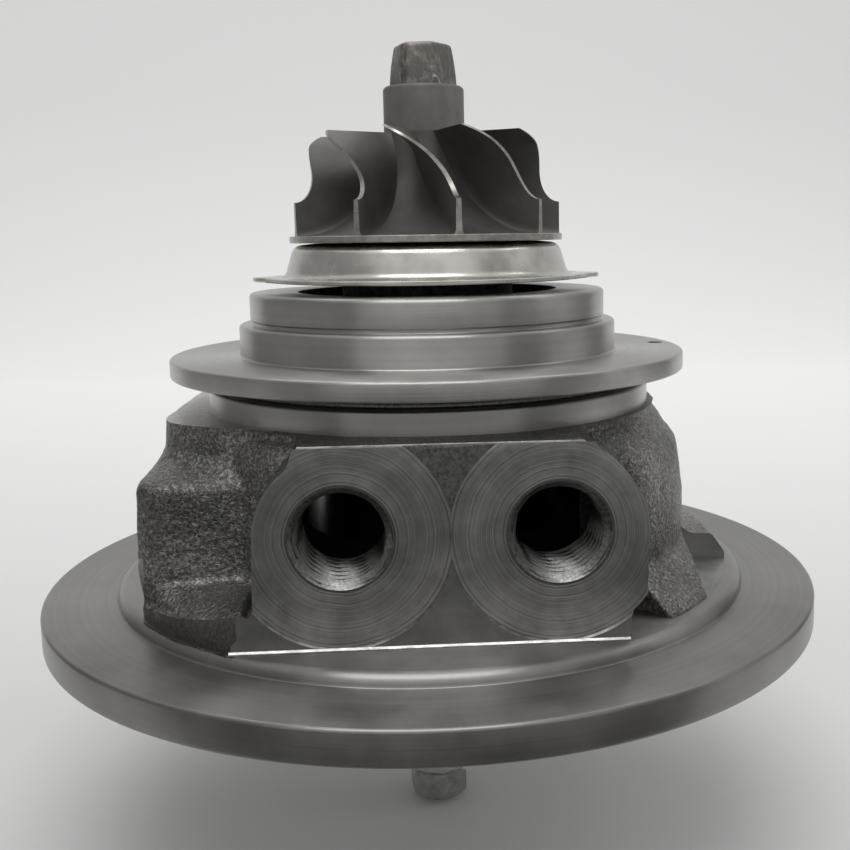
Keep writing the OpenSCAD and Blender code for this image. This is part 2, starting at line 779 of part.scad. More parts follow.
module turbine_bush_circlips() {
  color(steel) {
    bush_circlip(circlip_mid_z);
    bush_circlip(circlip_high_z);
  }
}

module compressor_bush_circlip() {
  color(steel) bush_circlip(circlip_low_z);
}

// Bronze thrust plate with a drain notch and two pin holes
thrust_pin_inset = 3.4;
thrust_pin_r = thrust_d / 2 - thrust_pin_inset;
thrust_pin_turns = [60, 300];
thrust_pin_sink = 1.6;
pin_clearance = 0.02;

module thrust_pin_places() {
  for (angle = thrust_pin_turns)
    rotate(angle)
      translate([thrust_pin_r, 0, 0]) children();
}

module thrust_bearing() {
  notch_w = 9;
  notch_stop = 1;
  groove_w = 1.6;
  groove_depth = 0.4;
  groove_lead = 0.5;
  groove_tail = 0.1;
  groove_l = (collar_d - collar_shank_d) / 2 + groove_lead + groove_tail;
  groove_count = 4;
  groove_turn = 45;
  color(bronze)
    difference() {
      disc(thrust_d / 2, deflector_z, thrust_z);
      disc(collar_shank_d / 2 + seal_clearance, deflector_z - cut, thrust_z + cut);
      translate([-thrust_d / 2 - cut, -notch_w / 2, deflector_z - cut])
        cube([thrust_d / 2 - collar_well_r - notch_stop + cut, notch_w, thrust_t + 2 * cut]);
      thrust_pin_places()
        disc(thrust_pin_d / 2 + pin_clearance, thrust_z - thrust_pin_sink, thrust_z + cut);
      for (i = [0 : groove_count - 1])
        rotate(groove_turn + i * 360 / groove_count)
          translate([collar_shank_d / 2 - groove_lead, -groove_w / 2, thrust_z - groove_depth])
            cube([groove_l, groove_w, groove_depth + cut]);
    }
}

module thrust_bearing_pins() {
  color(steel)
    thrust_pin_places()
      disc(thrust_pin_d / 2, thrust_z - thrust_pin_sink, thrust_z + thrust_pin_sink);
}

// Sheet deflector that turns thrown oil away from the compressor seal
module oil_deflector() {
  lip_l = 4;
  rim = 2;
  bridge = 2;
  hole_gap = 0.5;
  outer = thrust_d / 2 + rim;
  color(steel)
    difference() {
      disc(outer, seal_plate_t, deflector_z);
      disc(collar_d / 2 + hole_gap, seal_plate_t - cut, deflector_z + cut);
      translate([-outer - cut, -lip_l, seal_plate_t - cut])
        cube([outer - collar_d / 2 - bridge, 2 * lip_l, deflector_t + 2 * cut]);
    }
}

// Turned plate that closes the compressor end and carries the sleeve seal
o_ring_z = 3.9;
o_ring_side = 0.2;
flinger_flange_t = 1.65;
flinger_top = deflector_z - thrust_clearance;
flinger_gap = 0.4;
flinger_well_z = flinger_top - flinger_flange_t - flinger_gap;
o_ring_fit = 0.01;

module seal_plate() {
  plate_r = seal_plate_d / 2;
  groove_half = o_ring_cord / 2 + o_ring_side;
  groove_r = plate_bore_r - o_ring_cord - seat_clearance;
  color(turned_iron)
    rotate_extrude($fn = round_fn)
      polygon([
        [sleeve_bore_r, 0], [snap_land_r, 0], [snap_land_r, snap_top_z], [plate_r, snap_top_z],
        [plate_r, o_ring_z - groove_half], [groove_r, o_ring_z - groove_half],
        [groove_r, o_ring_z + groove_half], [plate_r, o_ring_z + groove_half],
        [plate_r, seal_plate_t], [collar_well_r, seal_plate_t], [collar_well_r, flinger_well_z],
        [sleeve_bore_r, flinger_well_z]]);
}

module seal_plate_o_ring() {
  color("black")
    rotate_extrude($fn = round_fn)
      translate([plate_bore_r - o_ring_cord / 2 - o_ring_fit, o_ring_z])
        circle(d = o_ring_cord, $fn = small_fn);
}

module seal_plate_snap_ring() {
  ring_outer = snap_groove_r - seat_clearance;
  inner_gap = 0.5;
  ring_inner = snap_land_r + inner_gap;
  opening = 7;
  opening_turn = 90;
  plier_turn = 12;
  plier_hole_d = 1.7;
  color(steel)
    difference() {
      tube(ring_outer, ring_inner, snap_z + seat_clearance, snap_top_z);
      ring_slit(ring_outer, snap_z, snap_top_z, opening, opening_turn);
      for (side = [-1, 1])
        rotate(opening_turn + side * plier_turn)
          translate([(ring_outer + ring_inner) / 2, 0, 0])
            disc(plier_hole_d / 2, 0, snap_top_z + cut);
    }
}

sleeve_ring_z = 1.6;

module compressor_seal_ring() {
  outer = sleeve_bore_r - ring_fit;
  color(steel)
    difference() {
      tube(outer, outer - ring_wall, sleeve_ring_z, sleeve_ring_z + compressor_ring_w);
      ring_slit(outer, sleeve_ring_z, sleeve_ring_z + compressor_ring_w, ring_gap_w, sleeve_slit_turn);
    }
}

// Bladed wheels: s runs from the rim to the eye, and points are in radius and height
blade_steps = 10;
span_steps = 3;
gap_steps = 2;
bend = 0.62;
corner_start = 0.6;

function hub_point(s, tip_r, rim_h, eye_r, height) =
  [tip_r - (tip_r - eye_r) * sin(90 * s), height - (height - rim_h) * cos(90 * s)];

// The last corner of the blade is rounded in by the size of corner
function shroud_point(s, tip_r, low, eye_r, bend_h, height, corner) =
  let (t = (s - bend) / (1 - bend), late = max(0, t - corner_start) / (1 - corner_start))
  s < bend
    ? [tip_r - (tip_r - eye_r) * sin(90 * s / bend), bend_h - (bend_h - low) * cos(90 * s / bend)]
    : [eye_r - corner * late * late, mix(bend_h, height, t)];

function around(place, angle) = [place[0] * cos(angle), place[0] * sin(angle), place[1]];

function half_angle(thickness, r) = thickness / 2 / r * 180 / PI;

function quad(a, b, c, d) = [[a, b, c], [a, c, d]];

// One closed skin over hub and blades. hub and shroud are rows of points from rim to eye,
// lower and upper are the rows of the plain hub below and above them, and every second
// blade stops at the step split.
module bladed_wheel(hub, shroud, lower, upper, count, split, wrap, power, root_t, edge_t) {
  per_blade = 2 + gap_steps;
  columns = count * per_blade;
  first = len(lower);
  profile = concat(lower, hub, upper);
  last_row = len(profile) - 1;
  pitch = 360 / count;
  foil_end = 2 * span_steps + 1;
  blade_base = len(profile) * columns + 2;
  twist = function (i) wrap * pow(i / blade_steps, power);
  ring_angle = function (i, column)
    let (k = floor(column / per_blade), e = column % per_blade, half = half_angle(root_t, hub[i][0]))
    k * pitch + twist(i) + (e == 0 ? -half : half + (pitch - 2 * half) * (e - 1) / (gap_steps + 1));
  ring = [
    for (row = [0 : last_row], column = [0 : columns - 1])
      around(profile[row], ring_angle(min(max(row - first, 0), blade_steps), column))
  ];
  blades = [
    for (k = [0 : count - 1], side = [-1, 1], i = [0 : blade_steps], j = [1 : span_steps])
      let (t = j / span_steps, place = mix(hub[i], shroud[i], t))
      around(place, k * pitch + twist(i) + side * half_angle(mix(root_t, edge_t, t), place[0]))
  ];
  cell = function (row, column) row * columns + column % columns;
  foil = function (k, i, e)
    e == 0 ? cell(first + i, k * per_blade)
    : e == foil_end ? cell(first + i, k * per_blade + 1)
    : e <= span_steps ? blade_base + (2 * k * (blade_steps + 1) + i) * span_steps + e - 1
    : blade_base + ((2 * k + 1) * (blade_steps + 1) + i) * span_steps + foil_end - 1 - e;
  last = function (k) k % 2 == 1 ? split : blade_steps;
  bladed = function (row, column)
    column % per_blade == 0 && row >= first && row < first + last(floor(column / per_blade));
  faces = [
    for (row = [0 : last_row - 1], column = [0 : columns - 1])
      if (!bladed(row, column))
        each quad(cell(row, column), cell(row + 1, column),
                  cell(row + 1, column + 1), cell(row, column + 1)),
    for (k = [0 : count - 1], i = [0 : last(k) - 1], e = [0 : foil_end - 1])
      each quad(foil(k, i, e), foil(k, i + 1, e), foil(k, i + 1, e + 1), foil(k, i, e + 1)),
    for (k = [0 : count - 1], j = [0 : span_steps - 1])
      each quad(foil(k, 0, j), foil(k, 0, j + 1),
                foil(k, 0, foil_end - 1 - j), foil(k, 0, foil_end - j)),
    for (k = [0 : count - 1], j = [0 : span_steps - 1])
      let (i = last(k))
      each quad(foil(k, i, foil_end - j), foil(k, i, foil_end - 1 - j),
                foil(k, i, j + 1), foil(k, i, j)),
    for (column = [0 : columns - 1])
      [blade_base - 2, cell(0, column), cell(0, column + 1)],
    for (column = [0 : columns - 1])
      [blade_base - 1, cell(last_row, column + 1), cell(last_row, column)]
  ];
  ends = [[0, 0, profile[0][1]], [0, 0, profile[last_row][1]]];
  polyhedron(concat(ring, ends, blades), faces);
}

turbine_phase = -78.3;
turbine_tip_step = 0.2;
turbine_bend = 5.1;
turbine_corner = 1.3;
turbine_power = 3.3;
turbine_root_t = 1.3;
turbine_edge_t = 0.6;
hub_collar_edge = 0.5;
cast_nose_sink = 0.3;
cast_nose_taper = 1.4;

module turbine_wheel() {
  tip_r = turbine_d / 2;
  blade_r = tip_r - turbine_tip_step;
  eye_r = hub_collar_d / 2;
  bend_h = turbine_blade_h - turbine_bend;
  collar_h = collar_top_z - wheel_z;
  steps = [for (i = [0 : blade_steps]) i / blade_steps];
  color("dimgray")
    translate([0, 0, wheel_z])
      rotate(turbine_phase) {
        bladed_wheel(
          hub = [for (s = steps) hub_point(s, blade_r, disc_t, eye_r, turbine_blade_h)],
          shroud = [for (s = steps) shroud_point(
            s, blade_r, disc_t + turbine_tip_h, turbine_eye_d / 2, bend_h, turbine_blade_h, turbine_corner)],
          lower = [[tip_r, 0], [tip_r, disc_t]],
          upper = [[eye_r, collar_h - hub_collar_edge], [eye_r - hub_collar_edge, collar_h]],
          count = turbine_blades, split = blade_steps, wrap = turbine_wrap, power = turbine_power,
          root_t = turbine_root_t, edge_t = turbine_edge_t);
        translate([0, 0, collar_h - cast_nose_sink])
          cylinder(h = cast_nose_h + cast_nose_sink, d1 = cast_nose_w / cos(30),
                   d2 = (cast_nose_w - cast_nose_taper) / cos(30), $fn = 6);
      }
}

// Compressor wheel, drawn upwards from its back face and turned over
compressor_rim_h = 1;
compressor_tip_step = 0.1;
compressor_hub_wall = 3.6;
compressor_nose_wall = 2.4;
compressor_nose_edge = 0.5;
compressor_nose_rim = 1;
compressor_bend = 7;
compressor_power = 1.15;
compressor_root_t = 1.2;
compressor_edge_t = 0.5;
splitter_step = 7;

module compressor_wheel() {
  tip_r = compressor_d / 2;
  blade_r = tip_r - compressor_tip_step;
  low_h = compressor_rim_h + compressor_tip_h;
  eye_r = stub_d / 2 + compressor_hub_wall;
  nose_r = stub_d / 2 + compressor_nose_wall;
  bend_h = compressor_blade_h - compressor_bend;
  steps = [for (i = [0 : blade_steps]) i / blade_steps];
  color(steel)
    translate([0, 0, -back_gap])
      mirror([0, 0, 1])
        difference() {
          bladed_wheel(
            hub = [for (s = steps) hub_point(s, blade_r, compressor_rim_h, eye_r, compressor_blade_h)],
            shroud = [for (s = steps) shroud_point(
              s, blade_r, low_h, compressor_eye_d / 2, bend_h, compressor_blade_h, 0)],
            lower = [[tip_r, 0], [tip_r, compressor_rim_h]],
            upper = [[eye_r, compressor_blade_h + compressor_nose_rim],
                     [nose_r, compressor_l - compressor_nose_rim],
                     [nose_r - compressor_nose_edge, compressor_l]],
            count = 2 * compressor_blades, split = splitter_step, wrap = compressor_wrap,
            power = compressor_power, root_t = compressor_root_t, edge_t = compressor_edge_t);
          translate([0, 0, -cut])
            cylinder(h = compressor_l + 2 * cut, r = stub_d / 2 + pin_clearance, $fn = round_fn);
        }
}

// Shaft, friction welded to the back of the turbine wheel
nut_z = -back_gap - compressor_l;
shaft_proud = 0.6;
shaft_end_z = nut_z - nut_h - shaft_proud;
shaft_edge = 0.5;
waist_depth = 0.35;
waist_slope = 0.6;
journal_over = 1.2;
taper_lead = 0.4;
hub_lead = 0.2;
ring_back_gap = 0.4;

module rotor_shaft() {
  hub_r = seal_hub_d / 2;
  journal_r = journal_d / 2;
  stub_r = stub_d / 2;
  waist_r = journal_r - waist_depth;
  ring_floor = seal_bore_r - ring_wall - ring_back_gap;
  low_end = bush_low_z + bush_l + journal_over;
  high_end = bush_high_z - journal_over;
  taper_z = land_high_top + taper_lead;
  color(steel)
    rotate_extrude($fn = round_fn)
      polygon([
        [0, shaft_end_z], [stub_r - shaft_edge, shaft_end_z], [stub_r, shaft_end_z + shaft_edge],
        [stub_r, collar_top], [journal_r, collar_top], [journal_r, low_end],
        [waist_r, low_end + waist_slope], [waist_r, high_end - waist_slope], [journal_r, high_end],
        [journal_r, taper_z], [hub_r, seal_bore_z + hub_lead], [hub_r, ring_seat_z - ring_side_gap],
        [ring_floor, ring_seat_z - ring_side_gap],
        [ring_floor, ring_seat_z + turbine_ring_w + ring_side_gap],
        [hub_r, ring_seat_z + turbine_ring_w + ring_side_gap], [hub_r, wheel_z], [0, wheel_z]]);
}

module thrust_collar() {
  edge = 0.3;
  bore = stub_d / 2 + pin_clearance;
  color(steel)
    rotate_extrude($fn = round_fn)
      polygon([
        [bore, flinger_top], [collar_shank_d / 2, flinger_top],
        [collar_shank_d / 2, thrust_z + thrust_clearance], [collar_d / 2, thrust_z + thrust_clearance],
        [collar_d / 2, collar_top - edge], [collar_d / 2 - edge, collar_top], [bore, collar_top]]);
}

module oil_flinger() {
  bore = stub_d / 2 + pin_clearance;
  sleeve_r = sleeve_d / 2;
  groove_r = sleeve_bore_r - ring_wall - ring_back_gap;
  color(steel)
    rotate_extrude($fn = round_fn)
      polygon([
        [bore, -back_gap], [sleeve_r, -back_gap], [sleeve_r, sleeve_ring_z - ring_side_gap],
        [groove_r, sleeve_ring_z - ring_side_gap],
        [groove_r, sleeve_ring_z + compressor_ring_w + ring_side_gap],
        [sleeve_r, sleeve_ring_z + compressor_ring_w + ring_side_gap],
        [sleeve_r, flinger_top - flinger_flange_t], [collar_d / 2, flinger_top - flinger_flange_t],
        [collar_d / 2, flinger_top], [bore, flinger_top]]);
}

nut_turn = 38;

module compressor_nut() {
  corner_r = nut_w / 2 / cos(30);
  chamfer = corner_r - nut_w / 2;
  face_edge = 0.1;
  wide_r = corner_r + face_edge;
  color(steel)
    translate([0, 0, nut_z - nut_h])
      difference() {
        intersection() {
          rotate(nut_turn)
            cylinder(h = nut_h, r = corner_r, $fn = 6);
          rotate_extrude($fn = round_fn)
            polygon([[0, 0], [nut_w / 2 - face_edge, 0], [wide_r, chamfer], [wide_r, nut_h], [0, nut_h]]);
        }
        translate([0, 0, -cut])
          cylinder(h = nut_h + 2 * cut, r = stub_d / 2 + pin_clearance, $fn = round_fn);
      }
}

// Floating bronze bush with a ring of oil holes
module journal_bush(bottom) {
  inner = journal_d / 2 + journal_clearance;
  outer = bush_d / 2;
  edge = 0.3;
  hole_d = 1.8;
  hole_count = 6;
  hole_lead = 0.5;
  color(bronze)
    difference() {
      rotate_extrude($fn = round_fn)
        polygon([
          [inner + edge, bottom], [outer - edge, bottom], [outer, bottom + edge],
          [outer, bottom + bush_l - edge], [outer - edge, bottom + bush_l],
          [inner + edge, bottom + bush_l], [inner, bottom + bush_l - edge], [inner, bottom + edge]]);
      for (i = [0 : hole_count - 1])
        rotate(i * 360 / hole_count)
          translate([inner - hole_lead, 0, bottom + bush_l / 2])
            rotate([0, 90, 0])
              cylinder(h = outer - inner + cut, d = hole_d, $fn = small_fn);
    }
}

module turbine_journal_bush() {
  journal_bush(bush_high_z);
}

module compressor_journal_bush() {
  journal_bush(bush_low_z);
}

bearing_housing();
heat_shield();
turbine_seal_ring();
turbine_bush_circlips();
compressor_bush_circlip();
thrust_bearing();
thrust_bearing_pins();
oil_deflector();
seal_plate();
seal_plate_o_ring();
seal_plate_snap_ring();
compressor_seal_ring();
turbine_wheel();
rotor_shaft();
thrust_collar();
oil_flinger();
compressor_wheel();
compressor_nut();
turbine_journal_bush();
compressor_journal_bush();
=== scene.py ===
import math

import bmesh
import bpy
from mathutils import Matrix, Vector, noise


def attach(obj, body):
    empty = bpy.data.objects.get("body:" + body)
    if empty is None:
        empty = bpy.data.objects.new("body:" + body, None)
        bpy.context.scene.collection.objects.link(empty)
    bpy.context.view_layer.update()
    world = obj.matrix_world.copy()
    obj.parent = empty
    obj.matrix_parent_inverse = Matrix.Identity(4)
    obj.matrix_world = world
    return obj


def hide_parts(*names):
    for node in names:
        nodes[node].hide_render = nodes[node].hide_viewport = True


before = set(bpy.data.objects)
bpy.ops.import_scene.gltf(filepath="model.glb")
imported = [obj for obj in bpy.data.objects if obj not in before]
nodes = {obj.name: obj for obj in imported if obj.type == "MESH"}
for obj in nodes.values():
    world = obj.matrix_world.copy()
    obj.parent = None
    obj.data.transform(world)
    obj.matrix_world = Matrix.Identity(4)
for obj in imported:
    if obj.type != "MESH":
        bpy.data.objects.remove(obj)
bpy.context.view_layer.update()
mm = 0.001  # all sizes below are in millimetres, Blender works in metres
print("frame loaded with", len(nodes), "nodes")

# Mesh tools


def shadeByAngle(piece, angle=32):
    piece.data.shade_smooth()
    piece.data.set_sharp_from_angle(angle=math.radians(angle))


def makePiece(name, points, faces, finishes, picks=None, angle=32):
    data = bpy.data.meshes.new(name)
    data.from_pydata([[c * mm for c in p] for p in points], [], faces)
    for finish in finishes:
        data.materials.append(finish)
    if picks:
        data.polygons.foreach_set("material_index", picks)
    tidy = bmesh.new()
    tidy.from_mesh(data)
    bmesh.ops.recalc_face_normals(tidy, faces=tidy.faces)
    tidy.to_mesh(data)
    tidy.free()
    piece = bpy.data.objects.new(name, data)
    bpy.context.scene.collection.objects.link(piece)
    shadeByAngle(piece, angle)
    return piece


def roundCorners(corners, steps=4):
    # corners are (r, z, round); a corner with a round becomes an arc
    outline = []
    for i, (r, z, size) in enumerate(corners):
        here = Vector((r, z))
        back = Vector(corners[i - 1][:2]) - here
        ahead = Vector(corners[(i + 1) % len(corners)][:2]) - here
        half = back.angle(ahead) / 2
        if size == 0 or half > 1.5:
            outline.append((r, z))
            continue
        reach = min(size / math.tan(half), 0.45 * back.length, 0.45 * ahead.length)
        radius = reach * math.tan(half)
        centre = here + (back.normalized() + ahead.normalized()).normalized() * (radius / math.sin(half))
        start = here + back.normalized() * reach - centre
        end = here + ahead.normalized() * reach - centre
        first = math.atan2(start.y, start.x)
        sweep = (math.atan2(end.y, end.x) - first + math.pi) % (2 * math.pi) - math.pi
        for k in range(steps + 1):
            turn = first + sweep * k / steps
            outline.append((centre.x + radius * math.cos(turn), centre.y + radius * math.sin(turn)))
    return outline


def ringFaces(rows, columns, closedRows):
    # quads of a grid whose columns go round, and whose rows may go round too
    faces = []
    for i in range(rows if closedRows else rows - 1):
        for k in range(columns):
            a, b = i * columns, (i + 1) % rows * columns
            faces.append((a + k, a + (k + 1) % columns, b + (k + 1) % columns, b + k))
    return faces


def lathe(outline, segments=192):
    turns = [2 * math.pi * k / segments for k in range(segments)]
    points = [(r * math.cos(t), r * math.sin(t), z) for r, z in outline for t in turns]
    return points, ringFaces(len(outline), segments, True)


def loft(rings):
    # closed solid through rings of equal length, flat at both ends
    count = len(rings[0])
    points = [p for ring in rings for p in ring]
    last = (len(rings) - 1) * count
    faces = ringFaces(len(rings), count, False)
    faces += [tuple(range(count))[::-1], tuple(range(last, last + count))]
    return points, faces


def prism(outline, start, end):
    # outline in x and z, drawn out along y
    return loft([[(x, y, z) for x, z in outline] for y in (start, end)])


def rod(start, end, r, endR=None, segments=96):
    # round bar between two points
    start, end = Vector(start), Vector(end)
    along = (end - start).normalized()
    side = along.orthogonal().normalized()
    up = along.cross(side)
    turns = [2 * math.pi * k / segments for k in range(segments)]
    radii = (r, r if endR is None else endR)
    rings = [[place + q * (math.cos(t) * side + math.sin(t) * up) for t in turns]
             for place, q in zip((start, end), radii)]
    return loft([[tuple(p) for p in ring] for ring in rings])


def box(low, high):
    (a, b, c), (d, e, f) = low, high
    return prism([(a, c), (d, c), (d, f), (a, f)], b, e)


def joinShells(shells):
    points, faces = [], []
    for shellPoints, shellFaces in shells:
        base = len(points)
        points += shellPoints
        faces += [tuple(base + i for i in face) for face in shellFaces]
    return points, faces


def applyModifiers(piece):
    graph = bpy.context.evaluated_depsgraph_get()
    made = bpy.data.meshes.new_from_object(piece.evaluated_get(graph))
    piece.modifiers.clear()
    piece.data = made


def cutAway(piece, cuts, operation="DIFFERENCE", angle=32):
    # each cut is (shell, finish), and the cut face takes that finish
    tools = []
    for shell, finish in cuts:
        tool = makePiece("tool", *shell, [finish])
        tools.append(tool)
        step = piece.modifiers.new("cut", "BOOLEAN")
        step.operation = operation
        step.solver = "MANIFOLD"
        step.material_mode = "TRANSFER"
        step.object = tool
    applyModifiers(piece)
    for tool in tools:
        bpy.data.objects.remove(tool)
    shadeByAngle(piece, angle)


def arc(centre, r, start, end, steps=8):
    turns = [math.radians(start + (end - start) * k / steps) for k in range(steps + 1)]
    return [(centre[0] + r * math.cos(t), centre[1] + r * math.sin(t)) for t in turns]


def place(piece, body, slot, *replaced):
    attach(piece, body)
    if replaced:
        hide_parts(*replaced)


# Finishes


class Finish:
    def __init__(self, name, colour, metallic, roughness):
        self.material = bpy.data.materials.new(name)
        self.material.use_nodes = True
        self.nodes = self.material.node_tree.nodes
        self.links = self.material.node_tree.links
        self.shader = self.nodes["Principled BSDF"]
        self.shader.inputs["Base Color"].default_value = (*colour, 1)
        self.shader.inputs["Metallic"].default_value = metallic
        self.shader.inputs["Roughness"].default_value = roughness
        coordinates = self.nodes.new("ShaderNodeTexCoord").outputs["Object"]
        scale = self.nodes.new("ShaderNodeVectorMath")
        scale.operation = "SCALE"
        scale.inputs["Scale"].default_value = 1 / mm
        self.links.new(coordinates, scale.inputs[0])
        self.where = scale.outputs[0]  # place on the part in millimetres
        self.height = None

    def feed(self, node, values):
        for socket, value in zip(node.inputs, values):
            if isinstance(value, (int, float)):
                socket.default_value = value
            else:
                self.links.new(value, socket)
        return node.outputs[0]

    def math(self, operation, a, b):
        node = self.nodes.new("ShaderNodeMath")
        node.operation = operation
        return self.feed(node, (a, b))

    def blend(self, a, b, share):
        # the share of a, and the rest of b
        return self.math("ADD", self.math("MULTIPLY", a, share), self.math("MULTIPLY", b, 1 - share))

    def axes(self):
        node = self.nodes.new("ShaderNodeSeparateXYZ")
        self.links.new(self.where, node.inputs[0])
        return node.outputs

    def combine(self, x, y, z):
        return self.feed(self.nodes.new("ShaderNodeCombineXYZ"), (x, y, z))

    def length(self, x, y, z):
        node = self.nodes.new("ShaderNodeVectorMath")
        node.operation = "LENGTH"
        self.links.new(self.combine(x, y, z), node.inputs[0])
        return node.outputs["Value"]

    def stretch(self, x, y, z):
        node = self.nodes.new("ShaderNodeVectorMath")
        node.operation = "MULTIPLY"
        node.inputs[1].default_value = (x, y, z)
        self.links.new(self.where, node.inputs[0])
        return node.outputs[0]

    def noise(self, scale, detail=3.0, rough=0.55, at=None, distortion=0.0):
        node = self.nodes.new("ShaderNodeTexNoise")
        node.inputs["Scale"].default_value = scale
        node.inputs["Detail"].default_value = detail
        node.inputs["Roughness"].default_value = rough
        node.inputs["Distortion"].default_value = distortion
        self.links.new(at or self.where, node.inputs["Vector"])
        return node.outputs["Fac"]

    def spread(self, value, low, high, toLow=0.0, toHigh=1.0):
        node = self.nodes.new("ShaderNodeMapRange")
        node.clamp = True
        for name, number in (("From Min", low), ("From Max", high), ("To Min", toLow), ("To Max", toHigh)):
            node.inputs[name].default_value = number
        self.links.new(value, node.inputs["Value"])
        return node.outputs["Result"]

    def colours(self, value, stops):
        node = self.nodes.new("ShaderNodeValToRGB")
        ramp = node.color_ramp
        while len(ramp.elements) < len(stops):
            ramp.elements.new(0.5)
        for element, (place, colour) in zip(ramp.elements, stops):
            element.position = place
            element.color = (*colour, 1)
        self.links.new(value, node.inputs["Fac"])
        self.links.new(node.outputs["Color"], self.shader.inputs["Base Color"])

    def roughness(self, value, low, high):
        self.links.new(self.spread(value, 0.25, 0.75, low, high), self.shader.inputs["Roughness"])

    def bump(self, value, depth):
        # depth is the height of the relief in millimetres
        node = self.nodes.new("ShaderNodeBump")
        node.inputs["Strength"].default_value = 1.0
        node.inputs["Distance"].default_value = depth * mm
        self.links.new(value, node.inputs["Height"])
        if self.height:
            self.links.new(self.height, node.inputs["Normal"])
        self.height = node.outputs["Normal"]
        self.links.new(self.height, self.shader.inputs["Normal"])

    def turned(self, amount):
        # highlights spread across the tool marks that run round the shaft axis
        tangent = self.nodes.new("ShaderNodeTangent")
        tangent.direction_type = "RADIAL"
        tangent.axis = "Z"
        self.links.new(tangent.outputs[0], self.shader.inputs["Tangent"])
        self.shader.inputs["Anisotropic"].default_value = amount
        self.shader.inputs["Anisotropic Rotation"].default_value = 0.25  # a quarter turn, so across the marks

    def aroundShaft(self):
        # radius and height: noise laid on these makes turning marks
        x, y, z = self.axes()
        return self.combine(self.length(x, y, 0.0), 0.0, z)


def turnedIron(name, light, dark, roughLow, roughHigh):
    finish = Finish(name, light, 1.0, roughLow)
    marks = finish.aroundShaft()
    lines = finish.noise(4.0, 3.0, 0.65, marks)
    wide = finish.noise(1.1, 2.0, 0.5, marks)
    stain = finish.noise(0.09, 4.0, 0.6)
    finish.colours(finish.blend(stain, wide, 0.7), [(0.3, dark), (0.62, light)])
    finish.roughness(finish.blend(stain, lines, 0.6), roughLow, roughHigh)
    finish.bump(lines, 0.012)
    finish.bump(finish.noise(5.0, 3.0, 0.6), 0.004)
    finish.turned(0.85)
    return finish.material


def castIron():
    finish = Finish("castIron", (0.13, 0.13, 0.125), 1.0, 0.45)
    grains = finish.noise(2.3, 3.0, 0.66)
    fine = finish.noise(7.0, 3.0, 0.6)
    patches = finish.noise(0.12, 3.0, 0.5)
    finish.colours(finish.blend(grains, patches, 0.72), [
        (0.36, (0.05, 0.049, 0.046)), (0.52, (0.15, 0.147, 0.14)), (0.66, (0.36, 0.352, 0.333))])
    finish.roughness(fine, 0.28, 0.5)
    finish.bump(grains, 0.26)
    finish.bump(fine, 0.04)
    return finish.material


def milledIron():
    # flat milled face with faint straight passes
    finish = Finish("milledIron", (0.3, 0.3, 0.29), 1.0, 0.36)
    passes = finish.noise(1.0, 3.0, 0.6, finish.stretch(0.08, 1.0, 5.0))
    stain = finish.noise(0.16, 4.0, 0.6)
    finish.colours(stain, [(0.3, (0.17, 0.17, 0.165)), (0.7, (0.29, 0.287, 0.278))])
    finish.roughness(passes, 0.28, 0.46)
    finish.bump(passes, 0.008)
    return finish.material


def cutEdgeHighlightIron():
    # narrow chamfers beside the milled face, bright as cut metal and with a painted highlight
    finish = Finish("cutEdgeHighlightIron", (0.62, 0.61, 0.585), 1.0, 0.3)
    finish.colours(finish.noise(1.5, 4.0, 0.65, finish.stretch(0.4, 1.0, 1.0)),
                   [(0.34, (0.2, 0.196, 0.188)), (0.62, (0.4, 0.392, 0.376))])
    finish.bump(finish.noise(3.0, 3.0, 0.6), 0.02)
    return finish.material


def seatIron(ports):
    # rings left by the seat cutter round the nearest port axis
    finish = Finish("seatIron", (0.22, 0.22, 0.215), 1.0, 0.33)
    x, y, z = finish.axes()
    left, right = (finish.length(finish.math("SUBTRACT", x, portX), 0.0, finish.math("SUBTRACT", z, portZ))
                   for portX, portZ in ports)
    near = finish.math("MINIMUM", left, right)
    wobble = finish.math("MULTIPLY", finish.noise(0.22, 2.0, 0.5), 0.5)
    ringPlace = finish.combine(finish.math("ADD", near, wobble), 0.0, 0.0)
    rings = finish.noise(4.2, 4.0, 0.75, ringPlace)
    fine = finish.noise(14.0, 2.0, 0.6, ringPlace)
    patches = finish.noise(0.2, 3.0, 0.6)
    finish.colours(finish.blend(rings, patches, 0.7), [
        (0.36, (0.15, 0.15, 0.15)), (0.5, (0.32, 0.318, 0.31)), (0.64, (0.54, 0.532, 0.515))])
    finish.roughness(rings, 0.24, 0.44)
    finish.bump(rings, 0.03)
    finish.bump(fine, 0.012)
    return finish.material


def boreIron(name, dark, light):
    # plain cut faces with an even tone
    finish = Finish(name, light, 1.0, 0.4)
    finish.colours(finish.noise(2.2, 3.0, 0.6), [(0.35, dark), (0.65, light)])
    finish.roughness(finish.noise(3.0, 3.0, 0.6), 0.28, 0.48)
    finish.bump(finish.noise(6.0, 2.0, 0.6), 0.01)
    return finish.material


def paintedDeepShadeIron():
    # near-black painted shade for the unlit cast walls of the water jacket, and for the bores, recess and
    # thread roots
    finish = Finish("paintedDeepShadeIron", (0.03, 0.03, 0.03), 0.6, 0.7)
    finish.colours(finish.noise(1.0, 4.0, 0.65), [(0.35, (0.008, 0.008, 0.008)), (0.7, (0.07, 0.068, 0.065))])
    finish.bump(finish.noise(1.4, 4.0, 0.6), 0.3)
    return finish.material


def shieldSteel():
    finish = Finish("shieldSteel", (0.56, 0.545, 0.505), 1.0, 0.27)
    drawn = finish.noise(2.2, 3.0, 0.6, finish.aroundShaft())
    stain = finish.noise(0.25, 2.0, 0.5)
    finish.colours(stain, [(0.3, (0.48, 0.466, 0.432)), (0.62, (0.58, 0.566, 0.53))])
    finish.roughness(stain, 0.22, 0.32)
    finish.bump(finish.noise(0.1, 1.0, 0.5), 0.1)
    finish.bump(drawn, 0.01)
    return finish.material


